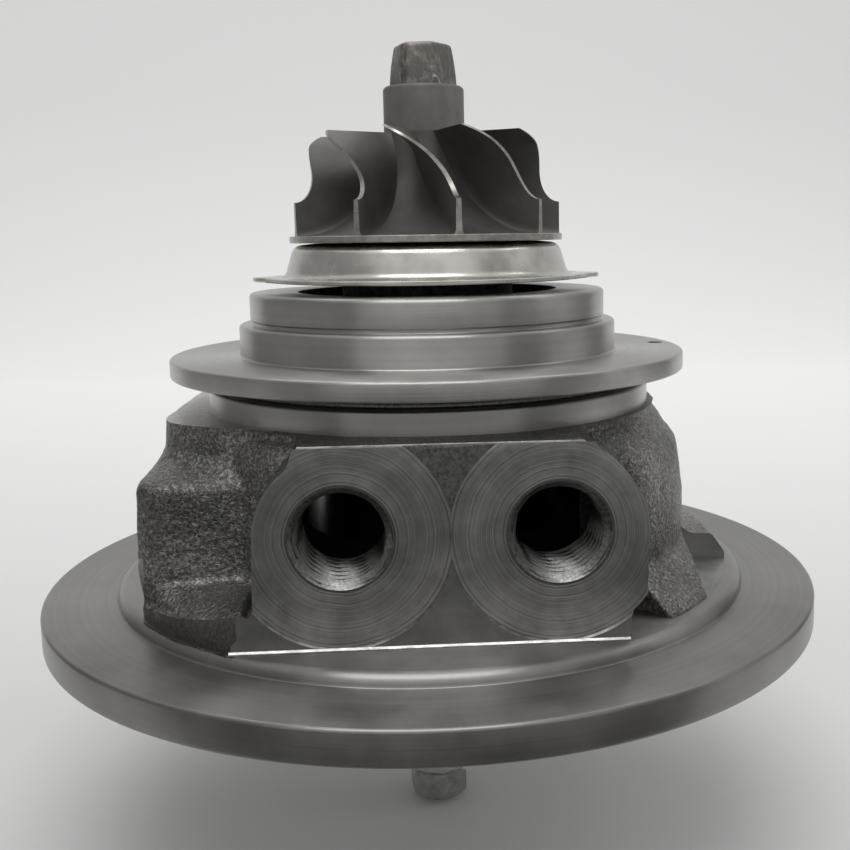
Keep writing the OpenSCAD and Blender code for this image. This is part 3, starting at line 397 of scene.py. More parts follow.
def turbineAlloy(name, dark, light):
    finish = Finish(name, light, 0.6, 0.5)
    patches = finish.noise(0.35, 4.0, 0.6)
    skin = finish.noise(4.0, 4.0, 0.65)
    finish.colours(finish.blend(patches, skin, 0.6), [(0.3, dark), (0.7, light)])
    finish.roughness(skin, 0.48, 0.62)
    finish.bump(skin, 0.015)
    finish.bump(finish.noise(12.0, 2.0, 0.6), 0.006)
    return finish.material


def groundAlloy():
    # bright edges left by grinding the blade contour
    finish = Finish("groundAlloy", (0.5, 0.475, 0.44), 1.0, 0.3)
    lines = finish.noise(6.0, 3.0, 0.6, finish.aroundShaft())
    finish.colours(finish.noise(0.9, 4.0, 0.6), [(0.3, (0.26, 0.248, 0.228)), (0.65, (0.42, 0.4, 0.37))])
    finish.roughness(lines, 0.24, 0.42)
    finish.bump(lines, 0.012)
    return finish.material


def noseAlloy():
    # cast nose with bright spots where metal was ground off for balance
    finish = Finish("noseAlloy", (0.2, 0.185, 0.17), 1.0, 0.42)
    scars = finish.noise(0.55, 3.0, 0.6, finish.stretch(1.0, 1.0, 0.6), 1.2)
    skin = finish.noise(3.5, 4.0, 0.65)
    finish.colours(finish.blend(scars, skin, 0.75), [
        (0.46, (0.12, 0.113, 0.105)), (0.6, (0.2, 0.188, 0.174)), (0.7, (0.55, 0.525, 0.49))])
    finish.roughness(skin, 0.3, 0.5)
    finish.bump(skin, 0.02)
    return finish.material


def milledAluminium():
    finish = Finish("milledAluminium", (0.72, 0.72, 0.725), 1.0, 0.26)
    passes = finish.noise(3.2, 2.0, 0.5, finish.aroundShaft())
    stain = finish.noise(0.2, 3.0, 0.6)
    finish.colours(stain, [(0.3, (0.6, 0.6, 0.61)), (0.65, (0.75, 0.75, 0.755))])
    finish.roughness(passes, 0.2, 0.34)
    finish.bump(passes, 0.02)
    return finish.material


def plainMetal(name, dark, light, roughLow, roughHigh):
    # small turned and ground pieces
    finish = Finish(name, light, 1.0, roughLow)
    lines = finish.noise(8.0, 2.0, 0.6, finish.aroundShaft())
    finish.colours(finish.noise(0.5, 4.0, 0.6), [(0.3, dark), (0.65, light)])
    finish.roughness(lines, roughLow, roughHigh)
    finish.bump(lines, 0.006)
    return finish.material


def sealRubber():
    finish = Finish("sealRubber", (0.02, 0.02, 0.02), 0.0, 0.55)
    finish.colours(finish.noise(1.2, 3.0, 0.6), [(0.3, (0.012, 0.012, 0.012)), (0.7, (0.035, 0.035, 0.034))])
    finish.bump(finish.noise(6.0, 3.0, 0.6), 0.01)
    return finish.material


coolantPorts = {
    "spacing": 25.8, "offset": 1.6, "z": 19.4, "faceY": -38.0, "seatR": 13.2, "seatDepth": 0.4,
    "coreR": 5.2, "mouthR": 6.15, "sleeveR": 6.45, "pitch": 1.5, "innerEnd": -27.5,
}
portAxes = [(coolantPorts["offset"] + side * coolantPorts["spacing"] / 2, coolantPorts["z"])
            for side in (-1, 1)]

ironTurned = turnedIron("ironTurned", (0.37, 0.361, 0.346), (0.265, 0.26, 0.249), 0.25, 0.42)
# a darker copy of the turned finish for the flange: painted shade
ironTurnedPaintedShade = turnedIron("flangeIronPaintedShade", (0.27, 0.264, 0.253), (0.185, 0.181, 0.173), 0.25, 0.42)
ironCast = castIron()
ironMilled = milledIron()
# bright chamfer finish: real cut metal with a painted highlight
ironCutEdgeHighlight = cutEdgeHighlightIron()
ironSeat = seatIron(portAxes)
ironBore = boreIron("boreIron", (0.12, 0.12, 0.118), (0.24, 0.236, 0.226))
ironThread = boreIron("threadIron", (0.12, 0.12, 0.117), (0.16, 0.158, 0.152))
# a darker bore finish laid on as painted shade: clamp groove, wall above the ring, shelf before the neck
ironPaintedShade = boreIron("paintedShadeIron", (0.11, 0.108, 0.104), (0.2, 0.197, 0.189))
# a brighter bore finish laid on as painted light for the upward boss top
ironTopPaintedLight = boreIron("topIronPaintedLight", (0.4, 0.393, 0.377), (0.58, 0.57, 0.548))
ironPaintedDeepShade = paintedDeepShadeIron()
steelShield = shieldSteel()
alloyCast = turbineAlloy("bladeAlloy", (0.075, 0.071, 0.066), (0.12, 0.113, 0.105))
alloyCollar = turbineAlloy("collarAlloy", (0.1, 0.094, 0.087), (0.16, 0.15, 0.139))
alloyGround = groundAlloy()
alloyNose = noseAlloy()
aluminiumMilled = milledAluminium()
steelGround = plainMetal("steelGround", (0.33, 0.33, 0.325), (0.52, 0.52, 0.51), 0.22, 0.38)
steelSheet = plainMetal("steelSheet", (0.4, 0.395, 0.38), (0.56, 0.55, 0.53), 0.28, 0.42)
steelNut = plainMetal("steelNut", (0.29, 0.287, 0.276), (0.48, 0.474, 0.457), 0.22, 0.38)
bronzeTurned = plainMetal("bronzeTurned", (0.42, 0.27, 0.1), (0.66, 0.46, 0.2), 0.22, 0.38)
rubberSeal = sealRubber()
print("finishes made")

# Machined body of the housing: flange, neck, clamp flange, pilots and bores, all turned in one chuck

turnedBody = {
    "flangeR": 56.0, "flangeT": 4.4, "ringR": 46.0, "ringZ": 6.0, "ringRound": 1.45,
    "carrierR": 19.0, "roofZ": 29.4,
    "neckR": 32.1, "neckZ": 33.3, "grooveR": 30.0, "grooveZ": 34.1, "clampR": 37.2, "clampZ": 35.1,
    "clampTopZ": 37.6, "pilotLowR": 27.4, "pilotLowZ": 42.0, "pilotHighR": 25.8, "pilotHighZ": 46.4,
    "recessR": 18.5, "recessZ": 43.4, "noseR": 12.5, "noseZ": 52.5, "relief": 0.3, "reliefH": 0.5,
    "locatingHole": (34.5, 2.0), "locatingHoleR": 1.1, "locatingHoleDepth": 1.6,
    "bores": [  # r, z and round from the turbine seal down to the seal plate
        (7.5, 52.5, 0.3), (7.5, 44.5, 0), (10.5, 43.5, 0), (10.5, 41.1, 0), (6.3, 41.1, 0), (6.3, 11.61, 0),
        (8.3, 11.61, 0), (8.3, 9.4, 0), (17.05, 9.4, 0), (17.05, 6.6, 0), (23.0, 6.6, 0), (23.0, 1.75, 0),
        (24.4, 1.75, 0), (24.4, 0.5, 0), (23.0, 0.5, 0), (23.0, 0, 0.3),
    ],
}


def turnedCorners(t):
    edge = arc((t["ringR"] - t["ringRound"], t["ringZ"] - t["ringRound"]), t["ringRound"], 0, 90)
    rim = [(t["flangeR"], 0, 0.5), (t["flangeR"], t["flangeT"], 0.45), (t["ringR"] + 0.1, t["flangeT"], 0.5)]
    rim += [(r, z, 0) for r, z in edge]
    reliefR, reliefZ = t["pilotHighR"] - t["relief"], t["pilotLowZ"] + t["reliefH"]
    return rim + [
        (t["carrierR"], t["ringZ"], 0), (t["carrierR"], t["roofZ"], 0),
        (t["neckR"], t["roofZ"], 0), (t["neckR"], t["neckZ"], 0.35), (t["grooveR"], t["neckZ"], 0.3),
        (t["grooveR"], t["grooveZ"], 0.3), (t["clampR"], t["clampZ"], 0.3),
        (t["clampR"], t["clampTopZ"], 0.4), (t["pilotLowR"], t["clampTopZ"], 0.3),
        (t["pilotLowR"], t["pilotLowZ"], 0.5), (reliefR, t["pilotLowZ"], 0.15),
        (reliefR, reliefZ, 0.1), (t["pilotHighR"], reliefZ + 0.2, 0.1),
        (t["pilotHighR"], t["pilotHighZ"], 0.55), (t["recessR"], t["pilotHighZ"], 0.4),
        (t["recessR"], t["recessZ"], 0.5), (t["noseR"], t["recessZ"], 0.6), (t["noseR"], t["noseZ"], 0.4),
    ] + t["bores"]


oilPorts = {
    "inletZ": 20.0, "inletFaceX": 35.93, "inletSeatR": 10.0, "inletCoreR": 4.5, "inletMouthR": 5.1,
    "inletSleeveR": 5.4, "inletFloorX": 24.0, "inletPitch": 1.0,
    "drainZ": 17.0, "drainFaceX": -39.2, "drainR": 6.0, "drainFloorX": -11.3, "boltSpacing": 27.0,
    "boltCoreR": 2.5, "boltMouthR": 3.05, "boltSleeveR": 3.3, "boltDepth": 10.0, "boltPitch": 1.0,
    "padR": 7.0, "padEndR": 5.4,
}

housingTurned = makePiece("housingTurned", *lathe(roundCorners(turnedCorners(turnedBody)), 256),
                          [ironTurned, ironPaintedDeepShade, ironPaintedShade, ironTurnedPaintedShade])
for face in housingTurned.data.polygons:  # painted shade: near-black recess under the shield, dark clamp groove, and a darker copy of the turned finish on the flange
    r, z = face.center.xy.length / mm, face.center.z / mm
    if r < turnedBody["recessR"] + 0.5 and z > turnedBody["roofZ"]:
        face.material_index = 1
    elif r < turnedBody["clampR"] - 0.4 and turnedBody["neckZ"] < z < turnedBody["clampZ"]:
        face.material_index = 2
    elif z < turnedBody["ringZ"] + 0.5:
        face.material_index = 3
holeX, holeY = turnedBody["locatingHole"]
cutAway(housingTurned, [
    (rod((holeX, holeY, turnedBody["clampTopZ"] - turnedBody["locatingHoleDepth"]),
         (holeX, holeY, turnedBody["clampTopZ"] + 1), turnedBody["locatingHoleR"]), ironBore),
    # the drain bore takes near-black painted shade
    (rod((oilPorts["drainFaceX"], 0, oilPorts["drainZ"]), (oilPorts["drainFloorX"], 0, oilPorts["drainZ"]),
         oilPorts["drainR"]), ironPaintedDeepShade),
])
place(housingTurned, "housing", "cast_iron", "bearing_housing")
print("turned body made")

# Cast body: barrel, port block, drain boss and foot as one sand casting, then milled and bored

castBody = {
    "barrelR": 35.7, "coreR": 18.9, "bottomZ": 5.2, "topZ": 30.2, "shoulderR": 5.0, "shoulderDraft": 0.85,
    "shoulderDraftH": 7.0, "landR": 33.2, "jacketOuterR": 30.5, "jacketZ": 12.8, "jacketTopZ": 29.0,
    "footR": 44.8, "footZ": 7.6, "footLeftX": -37.9, "footRightX": 37.0, "voxel": 0.4, "smoothing": 5,
    "spare": 0.6,
    "lumps": [(0.2, 0.14), (0.75, 0.07), (1.9, 0.05)],  # lumps per mm and height of the sand skin
    "ledge": [  # x, outer z, inner z
        (-35.5, 7.5, 10.0), (-32.0, 8.2, 10.1), (-28.5, 9.1, 10.2), (-23.0, 10.5, 10.3)],
    "ramp": [(30.0, 5.2), (43.4, 5.2), (43.4, 6.2), (37.6, 10.6), (30.0, 10.6)], "rampTurn": (-47.0, -8.0),
}
inletBulge = {
    "r": 37.3, "halfW": 25.5,
    "slope": [  # draw-in, depth
        (0, 25.0), (0, 12.2), (0.35, 9.6), (1.0, 5.6), (1.9, 4.3), (2.9, 3.1), (3.7, 2.2)],
}
portBlock = {
    "backY": -16.0, "frontY": -39.6, "bottomZ": 5.8, "leftR": 10.3, "rightR": 10.6, "skirtLeftX": -24.7,
    "skirtRightX": 22.8, "skirtTopZ": 11.4, "topZ": 30.5, "topLeftX": -16.0, "topRightX": 17.4,
    "roughTopZ": 32.0,
    "heelZ": 9.2, "flare": [(2.0, 9.2), (1.15, 8.0), (0.2, 7.0)], "crispY": -31.5, "backTaper": 0.98,
    "hollowTip": 2.6, "hollowTop": 13.0, "hollowHalfW": 8.2, "hollowDepth": 0.45,
    "edge": 0.26, "edgeSlope": 0.58,
    "footLineZ": 6.35, "footLineLowZ": 6.12, "footLineOut": 0.22,
}
drainBoss = {
    "wallX": 38.5, "halfW": 26.0, "slantTurn": 55.0, "blend": 24,
    "steps": [(5.0, 0.6, 60.0), (9.2, 0.4, 60.0), (11.8, 0.0, 60.0), (22.8, 0.3, 60.0), (23.6, 0.7, 46.0),
              (24.2, 1.1, 38.4), (25.4, 1.75, 35.8), (26.6, 2.2, 34.7), (30.2, 2.4, 34.2),
              (31.8, 2.4, 34.2)],  # height, draw-in of the wall and reach of the slanted walls
}
inletToe = {"x": 43.5, "halfW": 6.5, "topZ": 9.6, "slope": 2.0, "spare": 0.8}


def barrelShell(c):
    outline = [(c["coreR"] + 1, c["bottomZ"]), (c["barrelR"], c["bottomZ"]),
               (c["barrelR"], c["topZ"] - c["shoulderR"] - c["shoulderDraftH"])]
    outline += arc((c["barrelR"] - c["shoulderDraft"] - c["shoulderR"], c["topZ"] - c["shoulderR"]),
                   c["shoulderR"], 0, 58)
    outline += [(c["landR"], c["topZ"] + 0.3), (c["landR"], c["topZ"] + 1.5),
                (c["coreR"] + 1, c["topZ"] + 1.5)]
    return lathe(outline, 160)


def inletShell(b):
    rings = []
    for drawIn, depth in b["slope"]:
        r = b["r"] - drawIn
        half = math.asin(b["halfW"] / r)
        turns = [half * k / 16 for k in range(-16, 17)]
        side = [(r * math.cos(t), r * math.sin(t)) for t in turns] + [(0, b["halfW"]), (0, -b["halfW"])]
        rings.append([(x, y, castBody["topZ"] - depth) for x, y in side])
    return loft(rings)


def blockShell(b, start, end, topZ):
    (leftX, z), (rightX, _) = portAxes
    outline = [(b["skirtLeftX"], b["bottomZ"]), (b["skirtRightX"], b["bottomZ"]),
               (b["skirtRightX"], b["heelZ"]),
               (rightX + b["rightR"], b["skirtTopZ"])]
    outline += arc((rightX, z), b["rightR"], 0, 62, 16) + [(b["topRightX"], topZ), (b["topLeftX"], topZ)]
    outline += arc((leftX, z), b["leftR"], 125, 180, 16)
    outline += [(leftX - b["leftR"] - 0.2, b["skirtTopZ"] - 0.3)]
    outline += [(b["skirtLeftX"] + flare, z) for flare, z in b["flare"]]
    return prism(outline, start, end)


def bossShell(d, columns=72):
    # each ring takes the nearest of five walls, blended where two meet
    slant = math.radians(180 + d["slantTurn"])
    rings = []
    for z, drawIn, slantReach in d["steps"]:
        walls = [(math.pi, d["wallX"] - drawIn), (math.pi / 2, d["halfW"] - drawIn),
                 (-math.pi / 2, d["halfW"] - drawIn), (slant, slantReach), (-slant, slantReach)]
        ring = []
        for k in range(columns + 1):
            turn = math.pi / 2 + math.pi * k / columns
            near = sum((max(math.cos(turn - facing), 0) / reach) ** d["blend"] for facing, reach in walls)
            r = near ** (-1 / d["blend"])
            ring.append((r * math.cos(turn), r * math.sin(turn), z))
        rings.append(ring)
    return loft(rings)


def sunkBack(shell, b):
    # the back of the crisp block tapers into the cast skin, so no seam shows
    points, faces = shell
    midX, midZ = (b["skirtLeftX"] + b["skirtRightX"]) / 2, (b["bottomZ"] + b["topZ"]) / 2
    taper = [b["backTaper"] if y > b["frontY"] + 0.1 else 1.0 for x, y, z in points]
    return [(midX + (x - midX) * k, y, midZ + (z - midZ) * k) for (x, y, z), k in zip(points, taper)], faces


def ledgeShell(c):
    # the foot rises towards the port block
    rings = []
    for x, z, innerZ in c["ledge"]:
        y = -math.sqrt((c["footR"] + c["spare"]) ** 2 - x * x)
        top = [(-20, innerZ + 1.6), (-25, innerZ + 1.0), ((y - 25) / 2, (z + innerZ) / 2 + 0.9),
               (y + 1.5, z + 0.5)]
        rings.append([(x, *p) for p in [(y, c["bottomZ"]), (-20, c["bottomZ"])] + top + [(y, z)]])
    return loft(rings)


def rampShell(c):
    # sloped foot beside the oil inlet
    first, last = (math.radians(turn) for turn in c["rampTurn"])
    turns = [first + (last - first) * k / 20 for k in range(21)]
    return loft([[(r * math.cos(t), r * math.sin(t), z) for r, z in c["ramp"]] for t in turns])


def padShell(o):
    reach = o["boltSpacing"] / 2
    outline = arc((reach, 0), o["padEndR"], -90, 90) + arc((0, 0), o["padR"], 50, 130)
    outline += arc((-reach, 0), o["padEndR"], 90, 270) + arc((0, 0), o["padR"], 230, 310)
    return loft([[(x, y, o["drainZ"] + z) for y, z in outline] for x in (o["drainFaceX"] - 1.5, -30)])


def footShell(c):
    turns = [2 * math.pi * k / 180 for k in range(180)]
    reach = c["footR"] + c["spare"]
    outline = [(min(max(reach * math.cos(t), c["footLeftX"]), c["footRightX"] if math.sin(t) > 0 else 10.0),
                max(reach * math.sin(t), portBlock["frontY"])) for t in turns]
    return loft([[(x, y, z) for x, y in outline] for z in (c["bottomZ"], c["footZ"])])


def toeShell(t):
    outline = [(30, castBody["bottomZ"]), (t["x"], castBody["bottomZ"]), (t["x"], castBody["bottomZ"] + 1.6),
               (t["x"] - t["slope"], t["topZ"]), (30, t["topZ"])]
    return prism(outline, -t["halfW"] - t["spare"], t["halfW"])


def sandSkin(piece):
    # lumps of the sand mould, laid on before the cutters make flat faces
    corners = piece.data.vertices
    places, normals = [0.0] * 3 * len(corners), [0.0] * 3 * len(corners)
    corners.foreach_get("co", places)
    corners.foreach_get("normal", normals)
    for i in range(0, len(places), 3):
        spot = Vector(places[i:i + 3]) / mm
        lumps = sum(noise.noise(spot * pace) * height for pace, height in castBody["lumps"])
        for axis in range(3):
            places[i + axis] += normals[i + axis] * lumps * mm
    corners.foreach_set("co", places)
    piece.data.update()


def seatHollow(c, b):
    # the face above the crossing of the two seats
    tipZ, topZ = c["z"] + b["hollowTip"], c["z"] + b["hollowTop"]
    outline = [(c["offset"], tipZ), (c["offset"] + b["hollowHalfW"], topZ),
               (c["offset"] - b["hollowHalfW"], topZ)]
    return prism(outline, c["faceY"] - 2, c["faceY"] + b["hollowDepth"])


def blockTopEdge(b):
    # cutter for the narrow chamfer along the top of the port block
    low, high = b["topZ"] - b["edge"] - 1, b["topZ"] + 1
    outline = [(seatY - b["edgeSlope"], low), (seatY - b["edgeSlope"], high),
               (seatY + (b["edge"] + 1) * b["edgeSlope"], high)]
    return loft([[(x, y, z) for y, z in outline] for x in (b["topLeftX"] - 6, b["topRightX"] + 6)])


def footLine(b):
    # lip where the block meets the ring, made bright with a painted highlight
    faceY, low = coolantPorts["faceY"], turnedBody["ringZ"] - 0.1
    outline = [(faceY + 0.5, low), (faceY + 0.5, b["footLineZ"]), (faceY - 0.02, b["footLineZ"]),
               (faceY - b["footLineOut"], b["footLineLowZ"]), (faceY - b["footLineOut"], low)]
    return loft([[(x, y, z) for y, z in outline] for x in (b["skirtLeftX"], b["skirtRightX"])])


housingCast = makePiece("housingCast", *joinShells([
    barrelShell(castBody), inletShell(inletBulge),
    blockShell(portBlock, portBlock["frontY"], portBlock["backY"], portBlock["roughTopZ"]),
    bossShell(drainBoss), padShell(oilPorts), footShell(castBody), ledgeShell(castBody), rampShell(castBody),
    toeShell(inletToe)]), [ironCast])
remesh = housingCast.modifiers.new("skin", "REMESH")
remesh.mode = "VOXEL"
remesh.voxel_size = castBody["voxel"] * mm
soften = housingCast.modifiers.new("soften", "SMOOTH")
soften.factor = 0.5
soften.iterations = castBody["smoothing"]
applyModifiers(housingCast)
sandSkin(housingCast)
c, o = coolantPorts, oilPorts
seatY = c["faceY"] + c["seatDepth"]
boltPlaces = [(side * o["boltSpacing"] / 2, o["drainZ"]) for side in (-1, 1)]
hollowTool = makePiece("hollowTool", *seatHollow(coolantPorts, portBlock), [ironCast])
cutAway(hollowTool, [(rod((x, -50, z), (x, -30, z), c["seatR"], None, 160), ironSeat)
                     for x, z in portAxes])
hollowShape = ([tuple(v.co / mm) for v in hollowTool.data.vertices],
               [tuple(p.vertices) for p in hollowTool.data.polygons])
bpy.data.objects.remove(hollowTool)
aboveRing = turnedBody["ringZ"] + 0.02
cutAway(housingCast, [
    # the wall above the ring takes painted shade
    (lathe([(castBody["footR"], aboveRing), (70, aboveRing), (70, 14), (castBody["footR"], 14)], 256),
     ironPaintedShade),
    # the boss top at the left takes painted light
    (box((-70, -60, castBody["topZ"]), (-20, 60, 60)), ironTopPaintedLight),
    # the shelf in front of the neck takes painted shade
    (box((-20.5, -60, castBody["topZ"]), (70, 60, 60)), ironPaintedShade),
    (box((o["inletFaceX"] - 0.03, -45, aboveRing), (60, -inletToe["halfW"], 11.5)), ironMilled),
])
crispBlock = blockShell(portBlock, portBlock["frontY"], portBlock["crispY"], portBlock["topZ"])
cutAway(housingCast, [(sunkBack(crispBlock, portBlock), ironCast)], "UNION")
cutAway(housingCast, [
    (box((-70, -60, 0), (70, c["faceY"], 50)), ironMilled),
    # the chamfer along the block top: cut metal with a painted highlight
    (blockTopEdge(portBlock), ironCutEdgeHighlight),
    # the core bore and the water jacket take near-black painted shade
    (rod((0, 0, -10), (0, 0, 60), castBody["coreR"], None, 128), ironPaintedDeepShade),
    (lathe([(castBody["coreR"] - 2, castBody["jacketZ"]), (castBody["jacketOuterR"], castBody["jacketZ"]),
            (castBody["jacketOuterR"], castBody["jacketTopZ"]),
            (castBody["coreR"] - 2, castBody["jacketTopZ"])],
           128), ironPaintedDeepShade),
    # the face above the seat crossing takes the darker bore finish as painted shade
    (hollowShape, ironBore),
    (box((-60, -60, 0), (o["drainFaceX"], 60, 50)), ironMilled),
    (rod((o["drainFaceX"] - 2, 0, o["drainZ"]), (-10, 0, o["drainZ"]), o["drainR"]),
     ironBore),
    (rod((o["inletFaceX"], 0, o["inletZ"]), (60, 0, o["inletZ"]), o["inletSeatR"]),
     ironMilled),
    (rod((o["inletFloorX"], 0, o["inletZ"]), (60, 0, o["inletZ"]),
         o["inletSleeveR"]), ironBore),
] + [(rod((x, -50, z), (x, seatY, z), c["seatR"], None, 160), ironSeat) for x, z in portAxes]
  # seat chamfers: cut metal with a painted highlight
  + [(rod((x, seatY - 1, z), (x, seatY - 0.03, z), c["seatR"] + 0.6, c["seatR"] - 0.05, 160),
      ironCutEdgeHighlight) for x, z in portAxes]
  # the sleeves behind the coolant threads take near-black painted shade
  + [(rod((x, -50, z), (x, -24, z), c["sleeveR"]), ironPaintedDeepShade) for x, z in portAxes]
  + [(rod((-50, y, z), (o["drainFaceX"] + o["boltDepth"], y, z), o["boltSleeveR"]), ironBore)
     for y, z in boltPlaces], angle=38)
cutAway(housingCast, [(footLine(portBlock), ironCutEdgeHighlight)], "UNION", 38)
place(housingCast, "housing", "cast_iron", "bearing_housing")
print("cast body made with", len(housingCast.data.polygons), "faces")

# Threads in the ports: sleeves with a real helix inside and a chamfered mouth


def addThread(name, mouth, inward, length, coreR, mouthR, sleeveR, pitch):
    inward = Vector(inward)
    side = inward.orthogonal().normalized()
    up = inward.cross(side)
    columns, perTurn = 96, 10
    rows = int(length / pitch * perTurn)
    crestDepth = mouthR - 0.15 - coreR

    def ringAt(s, radius):
        ring = []
        for k in range(columns):
            share = k / columns
            t = 2 * math.pi * share
            out = math.cos(t) * side + math.sin(t) * up
            ring.append(tuple(Vector(mouth) + inward * s + radius(s, share) * out))
        return ring

    def wall(s, share):
        wave = abs(((s / pitch - share) % 1) * 2 - 1)  # 0 at the crest, 1 at the root
        return max(coreR + crestDepth * min(max(wave * 1.25 - 0.12, 0), 1), mouthR - s)

    rings = [ringAt(length * i / rows, wall) for i in range(rows + 1)]
    rings += [ringAt(length, lambda s, share: sleeveR), ringAt(0, lambda s, share: sleeveR)]
    points = [p for ring in rings for p in ring]
    faces = ringFaces(len(rings), columns, True)
    mouthRows = math.ceil((mouthR - coreR) / length * rows)
    picks = []  # a plain mouth, then crests, and roots darkened as painted shade
    for i in range(len(faces)):
        row, column = divmod(i, columns)
        wave = abs((((row + 0.5) / perTurn - (column + 0.5) / columns) % 1) * 2 - 1)
        picks.append(1 if row < mouthRows else 2 if wave > 0.6 and row < rows else 0)
    sleeve = makePiece(name, points, faces, [ironThread, ironBore, ironPaintedDeepShade], picks, angle=30)
    place(sleeve, "housing", "cast_iron", "bearing_housing")


for name, (x, z) in zip(("coolantThreadLeft", "coolantThreadRight"), portAxes):
    addThread(name, (x, seatY, z), (0, 1, 0), c["innerEnd"] - seatY, c["coreR"], c["mouthR"],
              c["sleeveR"], c["pitch"])
addThread("oilInletThread", (o["inletFaceX"], 0, o["inletZ"]), (-1, 0, 0), o["inletFaceX"] - o["inletFloorX"],
          o["inletCoreR"], o["inletMouthR"], o["inletSleeveR"], o["inletPitch"])
for name, (y, z) in zip(("drainBoltThreadFront", "drainBoltThreadBack"), boltPlaces):
    addThread(name, (o["drainFaceX"], y, z), (1, 0, 0), o["boltDepth"] - 0.3, o["boltCoreR"], o["boltMouthR"],
              o["boltSleeveR"], o["boltPitch"])
print("threads made")

# Heat shield: one pressed sheet with two ears

heatShield = {
    "topZ": 53.1, "sheet": 0.6, "holeR": 10.0, "wallR": 20.3, "crownR": 19.7, "press": 1.7, "depth": 5.2,
    "brimR": 22.7, "earR": 25.4, "earRound": 4.5, "foot": 1.3, "crown": 0.17,
    "crownEdge": 1.6, "lean": 14.0, "footTurn": 186.0, "edgeRound": 0.12,
}


def brimReach(turn, s):
    # radius of the brim: a circle drawn out to an ear on each side by straight tangents
    earCentre = s["earR"] - s["earRound"]
    lean = math.acos((s["brimR"] - s["earRound"]) / earCentre)
    off = abs((turn + math.pi / 2) % math.pi - math.pi / 2)
    if off > lean:
        return s["brimR"]
    onLine = s["brimR"] / math.cos(lean - off)
    inRound = s["earRound"] ** 2 - (earCentre * math.sin(off)) ** 2
    if inRound < 0:
        return onLine
    return min(onLine, earCentre * math.cos(off) + math.sqrt(inRound))


def shieldShell(s, segments=240):
    sheet, soft = s["sheet"], s["edgeRound"]
    brimZ, crownZ = s["topZ"] - s["depth"], s["topZ"] + s["crown"]
    pressAt = (s["crownR"] - s["press"], s["topZ"] - s["press"])
    footAt = (s["wallR"] + s["foot"], brimZ + sheet + s["foot"])
    crownR = pressAt[0] - s["crownEdge"]
    upper = [(s["holeR"], crownZ), (crownR, crownZ)] + arc(pressAt, s["press"], 90, s["lean"], 8)
    upper += arc(footAt, s["foot"], s["footTurn"], 270, 6)
    lower = (arc(footAt, s["foot"] + sheet, 270, s["footTurn"], 6)
             + arc(pressAt, s["press"] - sheet, s["lean"], 90, 8))
    lower += [(crownR, crownZ - sheet), (s["holeR"], crownZ - sheet)]
    points = []
    for k in range(segments):
        turn = 2 * math.pi * k / segments
        reach = brimReach(turn, s)
        edge = [(reach - soft, brimZ + sheet), (reach, brimZ + sheet - soft), (reach, brimZ + soft),
                (reach - soft, brimZ)]
        outline = upper + edge + lower
        points += [(r * math.cos(turn), r * math.sin(turn), z) for r, z in outline]
    return points, ringFaces(segments, len(outline), True)


shieldPiece = makePiece("heatShield", *shieldShell(heatShield), [steelShield], angle=40)
place(shieldPiece, "housing", "sheet_steel", "heat_shield")
print("heat shield made")

# Bladed wheels: one closed skin over hub and blades

turbineWheel = {
    "baseZ": 53.35, "facing": 1, "phase": -78.3, "count": 9, "tipR": 19.8, "bladeR": 19.6, "discT": 0.95,
    "hubR": 5.8, "eyeR": 16.6, "inletH": 5.55, "bendH": 10.2, "height": 15.3, "corner": 1.3, "wrap": -33.0,
    "power": 3.3, "rootT": 0.9, "edgeT": 0.66, "fillet": 0.5, "filletSpan": 0.14, "split": 1.0, "bend": 0.62,
    "upper": [(5.8, 16.0), (5.8, 21.3), (5.72, 21.6), (5.5, 21.8)],
}
compressorWheel = {
    "baseZ": -0.5, "facing": -1, "phase": 0.0, "count": 12, "tipR": 22.5, "bladeR": 22.4, "discT": 1.0,
    "hubR": 6.1, "eyeR": 16.5, "inletH": 4.0, "bendH": 13.0, "height": 20.0, "corner": 0.0, "wrap": 52.0,
    "power": 1.15, "rootT": 1.1, "edgeT": 0.5, "fillet": 0.9, "filletSpan": 0.14, "split": 0.7, "bend": 0.62,
    "upper": [(6.05, 21.0), (4.95, 26.3), (4.85, 27.0), (4.5, 27.4), (4.2, 27.6)],
}


